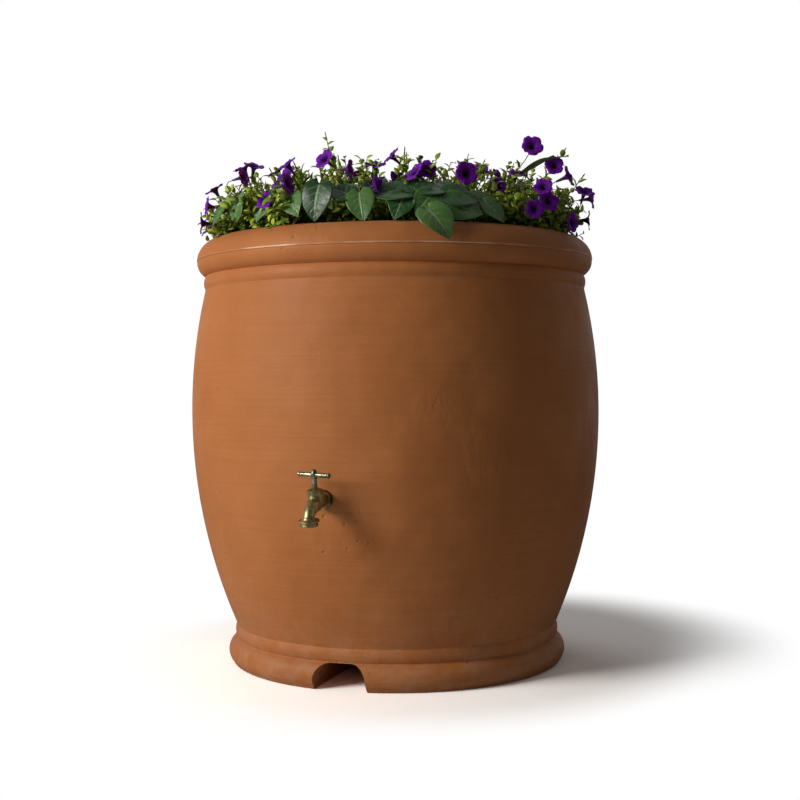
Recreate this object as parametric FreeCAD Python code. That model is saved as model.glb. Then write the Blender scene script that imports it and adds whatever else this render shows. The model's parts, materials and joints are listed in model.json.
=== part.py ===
"""Rain barrel with a lift-off planter top, a brass hose bibb and a hose channel through its base.

Millimetres. +Z is up and the origin is the centre of the circle that the barrel stands on. The front, with
the bibb and the mouth of the hose channel, faces -Y. The rainwater inlet and the overflow are at the back.
Every small fitting is drawn in a fitting frame: the wall's outer face is the plane y = 0, -Y leads out of
the barrel, and the fitting is then placed square on the wall.
"""

import FreeCAD
import Part
import math
import os

from FreeCAD import Vector

UP = Vector(0, 0, 1)
INWARD = Vector(0, 1, 0)
SIDEWAYS = Vector(1, 0, 0)
CENTRE = Vector(0, 0, 0)

# ---- Driving dimensions of the barrel ----
RIM_RADIUS = 350.0  # outside of the rim band, at the seam with the planter top
SEAM_HEIGHT = 704.0  # where the planter top sits on the barrel
BODY_SAG = 47.1  # rise of the body's arc above the chord between its two necks
WALL = 6.0

TOP_NECK_INSET = 13.8  # the body's top neck, in from the rim band
FOOT_NECK_INSET = 65.3  # the body's bottom neck, in from the rim band
RIM_BAND_HEIGHT = 26.5
RIM_BAND_BULGE = 4.8
PARTING = 0.02  # the moulding is given as solids that stop this far short of one another
BEAD_HEIGHT = 23.0
BEAD_STANDS_OUT = 3.2
BEAD_GROOVE = 1.0  # the groove on the far side of each bead, in from the neck
FOOT_HEIGHT = 44.5
FOOT_FLARE = 13.6  # widest part of the foot, out from the body's bottom neck
FOOT_WIDEST_AT = 14.0
FOOT_EDGE_ROUND = 4.0

# The seat that carries the planter top, and the collar that keeps it central
COLLAR_INSET = 46.0  # from the rim band in to the collar
COLLAR_HEIGHT = 14.0

# The base: a round recess over the drain, and an arched hose channel that leads out to the front
RECESS_RADIUS = 150.0
RECESS_HEIGHT = 60.0
CHANNEL_WIDTH = 90.0
CHANNEL_HEIGHT = 43.5
CHANNEL_CORNER = 28.0

# ---- Driving dimensions of the planter top ----
PLANTER_WALL = 5.0
SEAT_GAP = 0.3
SEAM_LIP = 0.8  # the planter top's lower edge stands this far out past the rim band
SHOULDER_HEIGHT = 37.7
SHOULDER_DEPTH = 40.0  # from the rim band in to the crest
BASIN_GAP = 2.5  # between the basin and the collar that it hangs in
BASIN_DEPTH = 186.0
BASIN_DRAFT_DEG = 2.5
BASIN_CORNER = 20.0
SOIL_BELOW_CREST = 36.0
SOIL_GAP = 0.6

# Rainwater inlet at the back: a chimney through the soil with a strainer basket hung in it
INLET_RADIUS = 72.0
INLET_FROM_AXIS = 190.0
INLET_BELOW_CREST = 14.0
BASKET_GAP = 2.0
BASKET_WALL = 2.5
BASKET_DEPTH = 76.0
BASKET_TAPER = 8.0
BASKET_FLANGE = 12.0
BASKET_FLANGE_THICK = 3.5
BASKET_SLOTS = 20
BASKET_SLOT_WIDTH = 6.0
BASKET_SLOT_MARGIN = 11.0
BASKET_SPOKES = 3
BASKET_SPOKE_WIDTH = 4.0
MESH_THICK = 0.8

# Strainers in the basin's drain holes
STRAINER_HOLE_RADIUS = 9.0
STRAINER_FROM_AXIS = 195.0
STRAINER_COUNT = 6
STRAINER_STEP_DEG = 50.0
STRAINER_FLANGE = 5.0
STRAINER_THICK = 2.0
STRAINER_TAIL = 10.0

# ---- Planting ----
FOLIAGE_HEIGHT = 160.0  # above the crest
FOLIAGE_REACH = 36.0  # past the crest, over the shoulder
FOLIAGE_GAP = 1.0
CROWN_RADIUS = 98.0
PETUNIA_SECTORS_DEG = [(-150, -104), (-103, -57), (-56, -10), (46, 97), (98, 150)]
VINE_SECTOR_DEG = (-9, 45)

# ---- Hose bibb ----
SPIGOT_HEIGHT = 312.0
SHANK_RADIUS = 10.4
SHANK_TAIL = 24.0
HOLE_CLEARANCE = 0.5
THREAD_CLEARANCE = 0.15
GASKET_THICK = 3.0
GASKET_STANDS_OUT = 4.2
HEX_ACROSS_FLATS = 27.0
HEX_LENGTH = 9.0
HEX_EASE = 1.2  # chamfer round the ends of every hexagon
HEX_CORNER_LOSS = 0.35  # share of a hexagon's corners that is turned away
STEM_OUT = 34.0  # stem axis, out from the wall
SPOUT_OUT = 31.0  # outlet axis, out from the stem axis
CHAMBER_RADIUS = 12.2
BODY_TOP = 14.5
BELLY_BULGE = 0.6
CAST_EASE = 1.0  # how softly the cast body's steps run into each other
NECK_RADIUS = 9.4
NECK_TOP = 20.0
SEAT_TOP = 5.0
SEAT_STANDS_UP = 1.6  # of the seat's ring, above the chamber's floor
SEAT_BORE = 4.2
INLET_BORE = 5.0
INLET_BORE_HEIGHT = -3.0
SPOUT_RADII = [11.6, 11.2, 10.4, 9.4, 8.8, 8.6]  # from the chamber to the outlet
SPOUT_BORE = 4.6
SPOUT_BORE_START = (7.0, 8.5)  # out from the stem axis and up, in the chamber
OUTLET_BORE = 6.6
COLLAR_OUTLET_RADIUS = 16.3
OUTLET_TOP = -17.0
OUTLET_COLLAR = 3.6
OUTLET_FLARE = 3.0
HOSE_THREAD_RADIUS = 13.45
HOSE_THREAD_LENGTH = 6.4
HOSE_BORE = 9.2

NUT_ACROSS_FLATS = 22.8
NUT_TOP = 25.0
NUT_CONE = 3.6
NUT_LIP = 1.6
STEM_RADIUS = 4.0
PACKING_THICK = 2.2
PACKING_HEIGHT = 2.6
STEM_THREAD_RADIUS = 6.8
RUNNING_GAP = 0.1
WASHER_THICK = 4.0
WASHER_RADIUS = 5.8
STEM_TRAVEL = 6.6
SCREW_RADIUS = 2.0
SCREW_DEPTH = 4.5
SCREW_SLOT = 1.0
SCREW_HEAD_RADIUS = 4.0
SCREW_HEAD_HEIGHT = 3.2
SEAT_SCREW_HEAD_RADIUS = 3.6
SEAT_SCREW_HEAD = 2.0

HANDLE_HEIGHT = 44.8
HANDLE_LENGTH = 56.5
HANDLE_TURN_DEG = -11.0
ARM_RADIUS = 3.7
ARM_END_RADIUS = 3.4
KNOB_RADIUS = 3.9
KNOB_LENGTH = 4.2
KNOB_EASE = 1.2
HUB_RADIUS = 5.4
HUB_HEIGHT = 11.0
SQUARE_DRIVE = 6.0

# ---- Bulkhead fittings of the overflow and the drain ----
OVERFLOW_BELOW_SEAM = 156.0
BULKHEAD_SHANK = 13.8
BULKHEAD_FLANGE = 23.0
BULKHEAD_FLANGE_THICK = 5.0
BULKHEAD_GASKET = 2.5
BULKHEAD_TAIL = 22.0
BULKHEAD_NOZZLE = 13.0
BULKHEAD_BORE = 9.2
BULKHEAD_GRIP = 39.1  # across the flats of its hexagon
BULKHEAD_FACE = 2.0  # round washer faces of the flange and the locknut
LOCKNUT_THICK = 7.0
LOCKNUT_RIM = 6.5
CAP_WALL = 3.6
CAP_WASHER = 2.0
CAP_GRIPS = 16
CAP_GRIP_RADIUS = 1.6
CAP_GRIP_OUT = 0.5
CAP_EDGE = 1.5
CAP_BELOW_FLANGE = 2.0

# ---- Sizes that follow ----
TOP_NECK_RADIUS = RIM_RADIUS - TOP_NECK_INSET
FOOT_NECK_RADIUS = RIM_RADIUS - FOOT_NECK_INSET
BAND_BOTTOM = SEAM_HEIGHT - RIM_BAND_HEIGHT
TOP_NECK_HEIGHT = BAND_BOTTOM - BEAD_HEIGHT
OVERFLOW_HEIGHT = SEAM_HEIGHT - OVERFLOW_BELOW_SEAM
FOOT_NECK_HEIGHT = FOOT_HEIGHT + BEAD_HEIGHT
FOOT_RADIUS = FOOT_NECK_RADIUS + FOOT_FLARE
COLLAR_RADIUS = RIM_RADIUS - COLLAR_INSET
OPENING_RADIUS = COLLAR_RADIUS - WALL

CREST_HEIGHT = SEAM_HEIGHT + SEAT_GAP + SHOULDER_HEIGHT
CREST_RADIUS = RIM_RADIUS - SHOULDER_DEPTH
BASIN_RADIUS = OPENING_RADIUS - BASIN_GAP - PLANTER_WALL  # inside, at the top of its straight wall
ROLL_RADIUS = CREST_RADIUS - BASIN_RADIUS
BASIN_FLOOR = CREST_HEIGHT - BASIN_DEPTH
SOIL_TOP = CREST_HEIGHT - SOIL_BELOW_CREST
INLET_TOP = CREST_HEIGHT - INLET_BELOW_CREST


# ---- Drawing helpers ----
def outline(start, *moves):
    """A closed face in the XZ plane. A move holds the end of a straight run, or a point on an arc and its end."""
    points = [Vector(start[0], 0, start[1])]
    edges = []
    for move in moves:
        stops = [Vector(x, 0, z) for x, z in move]
        if len(stops) == 1:
            edges.append(Part.makeLine(points[-1], stops[0]))
        else:
            edges.append(Part.Arc(points[-1], stops[0], stops[1]).toShape())
        points.append(stops[-1])
    edges.append(Part.makeLine(points[-1], points[0]))
    return Part.Face(Part.Wire(edges))


def turned(start, *moves):
    """An outline in radius and height, turned all the way round the Z axis."""
    return outline(start, *moves).revolve(CENTRE, UP, 360)


def rod(radius, near, far, axis=INWARD, x=0.0, y=0.0, z=0.0):
    """A round bar from near to far along an axis through x, y, z."""
    foot = Vector(x, y, z) + axis * near
    return Part.makeCylinder(radius, far - near, foot, axis)


def ring(outer, inner, near, far, axis=INWARD, **place):
    return rod(outer, near, far, axis, **place).cut(rod(inner, near, far, axis, **place))


def hexagon(across_flats, near, far, axis=INWARD):
    """A hexagonal bar with its corners eased, as on a turned nut."""
    corner = across_flats / math.sqrt(3)
    points = []
    for step in range(7):
        angle = math.radians(60 * step + 30)
        points.append(Vector(corner * math.cos(angle), corner * math.sin(angle), 0))
    length = far - near
    bar = Part.Face(Part.makePolygon(points)).extrude(UP * length)
    eased = corner - HEX_CORNER_LOSS * (corner - across_flats / 2)
    turning = turned(
        (0, 0),
        [(eased - HEX_EASE, 0)],
        [(eased, HEX_EASE)],
        [(eased, length - HEX_EASE)],
        [(eased - HEX_EASE, length)],
        [(0, length)],
    )
    bar = bar.common(turning)
    if axis is not UP:
        bar.rotate(CENTRE, SIDEWAYS, -90)
    bar.translate(axis * near)
    return bar


def arc_middle(start, end, sag):
    """The middle of an arc from start to end that bulges by sag to the right of the way it goes."""
    across = (end[0] - start[0], end[1] - start[1])
    length = math.hypot(*across)
    middle = ((start[0] + end[0]) / 2, (start[1] + end[1]) / 2)
    return (middle[0] + across[1] / length * sag, middle[1] - across[0] / length * sag)


def body_arc():
    """Centre and radius of the arc that the body's wall follows, in radius and height."""
    low = (FOOT_NECK_RADIUS, FOOT_NECK_HEIGHT)
    high = (TOP_NECK_RADIUS, TOP_NECK_HEIGHT)
    chord = math.hypot(high[0] - low[0], high[1] - low[1])
    radius = (chord**2 / 4 + BODY_SAG**2) / (2 * BODY_SAG)
    return arc_middle(low, high, BODY_SAG - radius), radius


def on_wall(shape, azimuth_deg, height):
    """Moves a fitting from its own frame to the body's wall, square on it, at that azimuth from the front."""
    middle, arc_radius = body_arc()
    lean = math.asin((middle[1] - height) / arc_radius)
    wall_radius = middle[0] + arc_radius * math.cos(lean)
    placed = shape.copy()
    placed.rotate(CENTRE, SIDEWAYS, math.degrees(lean))
    placed.translate(Vector(0, -wall_radius, height))
    placed.rotate(CENTRE, UP, azimuth_deg)
    return placed


def under_recess(shape):
    """Moves a fitting from its own frame to the ceiling of the base's recess, pointing down."""
    placed = shape.copy()
    placed.rotate(CENTRE, SIDEWAYS, 90)
    placed.translate(UP * RECESS_HEIGHT)
    return placed


def inner_seat(radius):
    """How far in from the wall's outer tangent plane a flat washer of that radius comes to rest inside."""
    wall_radius = TOP_NECK_RADIUS - WALL
    return WALL + radius**2 / (2 * wall_radius) + radius**2 / (2 * body_arc()[1]) + RUNNING_GAP


# ---- Barrel ----
def barrel_solid():
    """The barrel's outside as one solid, from the foot to the collar."""
    foot_neck = (FOOT_NECK_RADIUS, FOOT_NECK_HEIGHT)
    top_neck = (TOP_NECK_RADIUS, TOP_NECK_HEIGHT)
    foot_bead = (FOOT_NECK_RADIUS - BEAD_GROOVE, FOOT_HEIGHT)
    top_bead = (TOP_NECK_RADIUS - BEAD_GROOVE, BAND_BOTTOM)
    foot_stand = FOOT_RADIUS - 1.5 * FOOT_EDGE_ROUND
    seam = (RIM_RADIUS, SEAM_HEIGHT)
    return turned(
        (0, 0),
        [(foot_stand - FOOT_EDGE_ROUND, 0)],
        [(foot_stand - 0.3 * FOOT_EDGE_ROUND, 0.3 * FOOT_EDGE_ROUND), (foot_stand, FOOT_EDGE_ROUND)],
        [(FOOT_RADIUS, FOOT_WIDEST_AT), (FOOT_NECK_RADIUS, FOOT_HEIGHT - 1.5 * BEAD_GROOVE)],
        [foot_bead],
        [arc_middle(foot_bead, foot_neck, BEAD_STANDS_OUT), foot_neck],
        [arc_middle(foot_neck, top_neck, BODY_SAG), top_neck],
        [arc_middle(top_neck, top_bead, BEAD_STANDS_OUT), top_bead],
        [arc_middle(top_bead, seam, RIM_BAND_BULGE), seam],
        [(COLLAR_RADIUS, SEAM_HEIGHT)],
        [(COLLAR_RADIUS, SEAM_HEIGHT + COLLAR_HEIGHT)],
        [(0, SEAM_HEIGHT + COLLAR_HEIGHT)],
    )


def water_space():
    """The barrel's inside, up through its opening."""
    foot_neck = (FOOT_NECK_RADIUS - WALL, FOOT_NECK_HEIGHT)
    top_neck = (TOP_NECK_RADIUS - WALL, TOP_NECK_HEIGHT)
    band_inside = (RIM_RADIUS - WALL, SEAM_HEIGHT - WALL)
    above = SEAM_HEIGHT + COLLAR_HEIGHT + WALL
    return turned(
        (0, WALL),
        [(FOOT_RADIUS - 2 * WALL - FOOT_EDGE_ROUND, WALL)],
        [(FOOT_RADIUS - WALL, FOOT_WIDEST_AT + WALL / 2), (foot_neck[0], FOOT_HEIGHT)],
        [foot_neck],
        [arc_middle(foot_neck, top_neck, BODY_SAG), top_neck],
        [(top_neck[0], BAND_BOTTOM + WALL / 2)],
        [band_inside],
        [(OPENING_RADIUS, SEAM_HEIGHT - WALL)],
        [(OPENING_RADIUS, above)],
        [(0, above)],
    )


def channel(wall):
    """The arched hose channel from the front of the foot to the recess, grown by wall all round."""
    half = CHANNEL_WIDTH / 2 + wall
    top = CHANNEL_HEIGHT + wall
    corner = CHANNEL_CORNER + wall
    middle = corner * math.sqrt(0.5)
    arch = outline(
        (-half, -WALL),
        [(-half, top - corner)],
        [(-half + corner - middle, top - corner + middle), (-half + corner, top)],
        [(half - corner, top)],
        [(half - corner + middle, top - corner + middle), (half, top - corner)],
        [(half, -WALL)],
    )
    passage = arch.extrude(INWARD * (FOOT_RADIUS + BEAD_HEIGHT - RECESS_RADIUS / 2))
    passage.translate(INWARD * -(FOOT_RADIUS + BEAD_HEIGHT))
    return passage


def recess(wall):
    """The round recess in the base, with a rounded ceiling edge, grown by wall all round."""
    radius = RECESS_RADIUS + wall
    top = RECESS_HEIGHT + wall
    edge = WALL + wall
    return turned(
        (0, -WALL),
        [(radius, -WALL)],
        [(radius, top - edge)],
        [(radius - 0.3 * edge, top - 0.3 * edge), (radius - edge, top)],
        [(0, top)],
    )


def fitting_hole(radius):
    """A hole through the wall for a shank of that radius."""
    return rod(radius + HOLE_CLEARANCE, -3 * WALL, 5 * WALL)


def above_neck():
    """All the space above the barrel's bottom neck, where its body meets its base."""
    return rod(2 * RIM_RADIUS, FOOT_NECK_HEIGHT, 2 * SEAM_HEIGHT, UP)


def below_ground():
    """All the space under the ground's plane."""
    return rod(2 * RIM_RADIUS, -2 * WALL, 0, UP)


def barrel_shell():
    """Rotomoulded polyethylene wall of the body, from the base's neck up to the seat and its collar."""
    shell = barrel_solid().cut(water_space()).common(above_neck())
    shell = shell.cut(on_wall(fitting_hole(SHANK_RADIUS), 0, SPIGOT_HEIGHT))
    return shell.cut(on_wall(fitting_hole(BULKHEAD_SHANK), 180, OVERFLOW_HEIGHT))


def barrel_base():
    """The foot, its bead and the floor that rests on the ground, up to the neck."""
    base = barrel_solid().cut(water_space()).cut(above_neck())
    return base.cut(recess(WALL + PARTING)).cut(channel(WALL + PARTING))


def base_recess_cup():
    """The part of the base that rises into the water over the recess, with the drain's hole."""
    cup = recess(WALL).cut(recess(0)).cut(channel(0)).cut(below_ground())
    return cup.cut(under_recess(fitting_hole(BULKHEAD_SHANK)))


def hose_channel_arch():
    """The part of the base that arches over a hose, from the foot's front in to the recess."""
    arch = channel(WALL).cut(channel(0)).cut(recess(WALL + PARTING)).cut(below_ground())
    return arch.common(barrel_solid())


# ---- Planter top ----
def planter_upper():
    """The planter top's upper surface, as the moves of an outline from the seam to the axis."""
    lip = (RIM_RADIUS + SEAM_LIP, SEAM_HEIGHT + SEAT_GAP)
    depth = SHOULDER_DEPTH + SEAM_LIP
    half = math.sqrt(0.5)
    slope = math.tan(math.radians(BASIN_DRAFT_DEG))
    roll_foot = CREST_HEIGHT - ROLL_RADIUS
    corner_top = BASIN_FLOOR + BASIN_CORNER
    low_radius = BASIN_RADIUS - (roll_foot - corner_top) * slope
    corner = low_radius - BASIN_CORNER
    return lip, [
        [(CREST_RADIUS + depth * half, lip[1] + SHOULDER_HEIGHT * half), (CREST_RADIUS, CREST_HEIGHT)],
        [(CREST_RADIUS - ROLL_RADIUS * half, roll_foot + ROLL_RADIUS * half), (BASIN_RADIUS, roll_foot)],
        [(low_radius, corner_top)],
        [(corner + BASIN_CORNER * half, corner_top - BASIN_CORNER * half), (corner, BASIN_FLOOR)],
        [(0, BASIN_FLOOR)],
    ]


def planter_lower():
    """The same surface one wall further down and out, as the moves from the axis back to the seam."""
    half = math.sqrt(0.5)
    slope = math.tan(math.radians(BASIN_DRAFT_DEG))
    roll_foot = CREST_HEIGHT - ROLL_RADIUS
    corner_top = BASIN_FLOOR + BASIN_CORNER
    low_radius = BASIN_RADIUS - (roll_foot - corner_top) * slope
    corner = low_radius - BASIN_CORNER
    round_out = BASIN_CORNER + PLANTER_WALL
    roll_in = ROLL_RADIUS - PLANTER_WALL
    depth = SHOULDER_DEPTH + SEAM_LIP - PLANTER_WALL
    height = SHOULDER_HEIGHT - PLANTER_WALL
    lip_height = SEAM_HEIGHT + SEAT_GAP
    return [
        [(0, BASIN_FLOOR - PLANTER_WALL)],
        [(corner, BASIN_FLOOR - PLANTER_WALL)],
        [(corner + round_out * half, corner_top - round_out * half), (corner + round_out, corner_top)],
        [(BASIN_RADIUS + PLANTER_WALL, roll_foot)],
        [
            (CREST_RADIUS - roll_in * half, roll_foot + roll_in * half),
            (CREST_RADIUS, CREST_HEIGHT - PLANTER_WALL),
        ],
        [
            (CREST_RADIUS + depth * half, lip_height + height * half),
            (RIM_RADIUS + SEAM_LIP - PLANTER_WALL, lip_height),
        ],
    ]


def strainer_places():
    """Azimuths of the basin's drain holes, which keep to the front and the sides of the inlet."""
    first = -STRAINER_STEP_DEG * (STRAINER_COUNT - 1) / 2
    return [first + STRAINER_STEP_DEG * step for step in range(STRAINER_COUNT)]


def at_each_strainer(shape):
    """Copies of a shape drawn on the Z axis, one over each of the basin's drain holes."""
    copies = []
    for azimuth in strainer_places():
        copy = shape.copy()
        copy.translate(INWARD * -STRAINER_FROM_AXIS)
        copy.rotate(CENTRE, UP, azimuth)
        copies.append(copy)
    return copies


def planter_top():
    """Rotomoulded basin whose rolled rim caps the barrel, with a chimney for the rainwater inlet."""
    lip, upper = planter_upper()
    shell = turned(lip, *upper, *planter_lower())
    under = BASIN_FLOOR - PLANTER_WALL
    chimney = rod(INLET_RADIUS + PLANTER_WALL, under, INLET_TOP, UP, y=INLET_FROM_AXIS)
    shell = shell.fuse(chimney).cut(rod(INLET_RADIUS, under - WALL, INLET_TOP + WALL, UP, y=INLET_FROM_AXIS))
    for hole in at_each_strainer(rod(STRAINER_HOLE_RADIUS, under - WALL, BASIN_FLOOR + WALL, UP)):
        shell = shell.cut(hole)
    return shell.removeSplitter()


def planter_drain_strainers():
    """Flanged tubes with a pierced top that keep the soil in and let surplus water through."""
    flange_radius = STRAINER_HOLE_RADIUS + STRAINER_FLANGE
    tube_radius = STRAINER_HOLE_RADIUS - RUNNING_GAP
    base = BASIN_FLOOR + RUNNING_GAP
    top = base + STRAINER_THICK
    strainer = rod(flange_radius, base, top, UP)
    strainer = strainer.fuse(rod(tube_radius, BASIN_FLOOR - STRAINER_TAIL, base, UP))
    strainer = strainer.cut(rod(tube_radius - STRAINER_THICK, BASIN_FLOOR - STRAINER_TAIL - 1, base, UP))
    for quarter in range(4):
        hole = rod(STRAINER_THICK, base - 1, top + 1, UP, x=tube_radius / 2)
        hole.rotate(CENTRE, UP, 90 * quarter)
        strainer = strainer.cut(hole)
    return Part.makeCompound(at_each_strainer(strainer))


def potting_soil():
    """Soil that fills the basin to below its crest, round the inlet chimney and over the strainers."""
    slope = math.tan(math.radians(BASIN_DRAFT_DEG))
    corner_top = BASIN_FLOOR + BASIN_CORNER
    top_radius = BASIN_RADIUS - SOIL_GAP - (CREST_HEIGHT - ROLL_RADIUS - SOIL_TOP) * slope
    low_radius = BASIN_RADIUS - SOIL_GAP - (CREST_HEIGHT - ROLL_RADIUS - corner_top) * slope
    corner = low_radius - BASIN_CORNER + SOIL_GAP
    half = math.sqrt(0.5)
    round_in = BASIN_CORNER - SOIL_GAP
    floor = BASIN_FLOOR + SOIL_GAP
    soil = turned(
        (0, floor),
        [(corner, floor)],
        [(corner + round_in * half, corner_top - round_in * half), (low_radius, corner_top)],
        [(top_radius, SOIL_TOP)],
        [(0, SOIL_TOP)],
    )
    soil = soil.cut(rod(INLET_RADIUS + PLANTER_WALL + SOIL_GAP, floor - 1, SOIL_TOP + 1, UP, y=INLET_FROM_AXIS))
    pocket_radius = STRAINER_HOLE_RADIUS + STRAINER_FLANGE + SOIL_GAP
    pocket_top = BASIN_FLOOR + RUNNING_GAP + STRAINER_THICK + SOIL_GAP
    for pocket in at_each_strainer(rod(pocket_radius, floor - 1, pocket_top, UP)):
        soil = soil.cut(pocket)
    return soil


# ---- Planting: plain envelopes of the plants, one solid for each clump ----
def foliage_sector(from_deg, to_deg):
    """One clump that leans out over the rim, between two azimuths from the front."""
    inner = CROWN_RADIUS + FOLIAGE_GAP
    soil = SOIL_TOP + SOIL_GAP
    edge = BASIN_RADIUS - 2 * FOLIAGE_GAP - ROLL_RADIUS / 4
    over = CREST_HEIGHT + 2 * FOLIAGE_GAP
    reach = CREST_RADIUS + FOLIAGE_REACH
    top = CREST_HEIGHT + FOLIAGE_HEIGHT
    clump = outline(
        (inner, soil),
        [(edge, soil)],
        [(edge, CREST_HEIGHT - ROLL_RADIUS)],
        [(CREST_RADIUS - ROLL_RADIUS / 2, over)],
        [(reach - ROLL_RADIUS / 2, over)],
        [(reach, CREST_HEIGHT + 0.5 * FOLIAGE_HEIGHT), (0.78 * reach, CREST_HEIGHT + 0.9 * FOLIAGE_HEIGHT)],
        [(inner + ROLL_RADIUS, top - FOLIAGE_GAP)],
        [(inner, top - ROLL_RADIUS)],
    )
    turn = to_deg - from_deg
    solid = clump.revolve(CENTRE, UP, turn)
    solid.rotate(CENTRE, UP, from_deg - 90)
    return solid


def petunia_plants():
    """Petunias round the basin and one in its middle; the space over the rainwater inlet stays open."""
    top = CREST_HEIGHT + FOLIAGE_HEIGHT
    crown = turned(
        (0, SOIL_TOP + SOIL_GAP),
        [(CROWN_RADIUS, SOIL_TOP + SOIL_GAP)],
        [(CROWN_RADIUS, top - ROLL_RADIUS)],
        [(CROWN_RADIUS / 2, top + ROLL_RADIUS / 2)],
        [(0, top + ROLL_RADIUS / 2)],
    )
    clumps = [foliage_sector(*sector) for sector in PETUNIA_SECTORS_DEG]
    return Part.makeCompound([crown] + clumps)


def trailing_vine():
    """The broad-leaved vine at the front of the basin."""
    return foliage_sector(*VINE_SECTOR_DEG)


# ---- Strainer basket of the inlet ----
def strainer_basket():
    """Moulded basket with a flange that hangs on the chimney, slots round its side and spokes under its mesh."""
    flange_foot = INLET_TOP + SEAT_GAP
    flange_top = flange_foot + BASKET_FLANGE_THICK
    top_radius = INLET_RADIUS - BASKET_GAP
    low_radius = top_radius - BASKET_TAPER
    floor = flange_foot - BASKET_DEPTH
    bowl = turned(
        (top_radius - BASKET_WALL, flange_top),
        [(INLET_RADIUS + BASKET_FLANGE, flange_top)],
        [(INLET_RADIUS + BASKET_FLANGE, flange_foot)],
        [(top_radius, flange_foot)],
        [(low_radius, floor)],
        [(low_radius - 3 * BASKET_WALL, floor)],
        [(low_radius - 3 * BASKET_WALL, floor + BASKET_WALL)],
        [(low_radius - BASKET_WALL, floor + BASKET_WALL)],
    )
    slot_height = BASKET_DEPTH - 2 * BASKET_SLOT_MARGIN
    slot = Part.makeBox(3 * BASKET_TAPER, BASKET_SLOT_WIDTH, slot_height)
    slot.translate(Vector(low_radius - BASKET_TAPER, -BASKET_SLOT_WIDTH / 2, floor + BASKET_SLOT_MARGIN))
    slots = []
    for step in range(BASKET_SLOTS):
        copy = slot.copy()
        copy.rotate(CENTRE, UP, 360 * step / BASKET_SLOTS)
        slots.append(copy)
    basket = bowl.cut(Part.makeCompound(slots))
    for step in range(BASKET_SPOKES):
        reach = low_radius - 2 * BASKET_WALL
        spoke = Part.makeBox(2 * reach, BASKET_SPOKE_WIDTH, BASKET_WALL)
        spoke.translate(Vector(-reach, -BASKET_SPOKE_WIDTH / 2, floor))
        spoke.rotate(CENTRE, UP, 180 * step / BASKET_SPOKES)
        basket = basket.fuse(spoke)
    basket = basket.removeSplitter()
    basket.translate(INWARD * INLET_FROM_AXIS)
    return basket


def strainer_mesh():
    """Stainless mesh disc that lies on the basket's spokes, drawn as a plain disc."""
    radius = INLET_RADIUS - BASKET_GAP - BASKET_TAPER - BASKET_WALL - SEAT_GAP
    low = INLET_TOP + SEAT_GAP - BASKET_DEPTH + BASKET_WALL + RUNNING_GAP
    return rod(radius, low, low + MESH_THICK, UP, y=INLET_FROM_AXIS)


# ---- Hose bibb, in the fitting frame ----
def spout_loft(radii):
    """A loft through circles that stand square on a quarter ellipse, from the chamber round to the outlet."""
    drop = -OUTLET_TOP + 1.0
    wires = []
    for step, radius in enumerate(radii):
        turn = math.pi / 2 * step / (len(radii) - 1)
        out = SPOUT_OUT * math.sin(turn)
        down = drop * (1 - math.cos(turn))
        heading = Vector(0, -SPOUT_OUT * math.cos(turn), -drop * math.sin(turn))
        wires.append(Part.Wire(Part.makeCircle(radius, Vector(0, -STEM_OUT - out, -down), heading)))
    return Part.makeLoft(wires, True, False)


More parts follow.
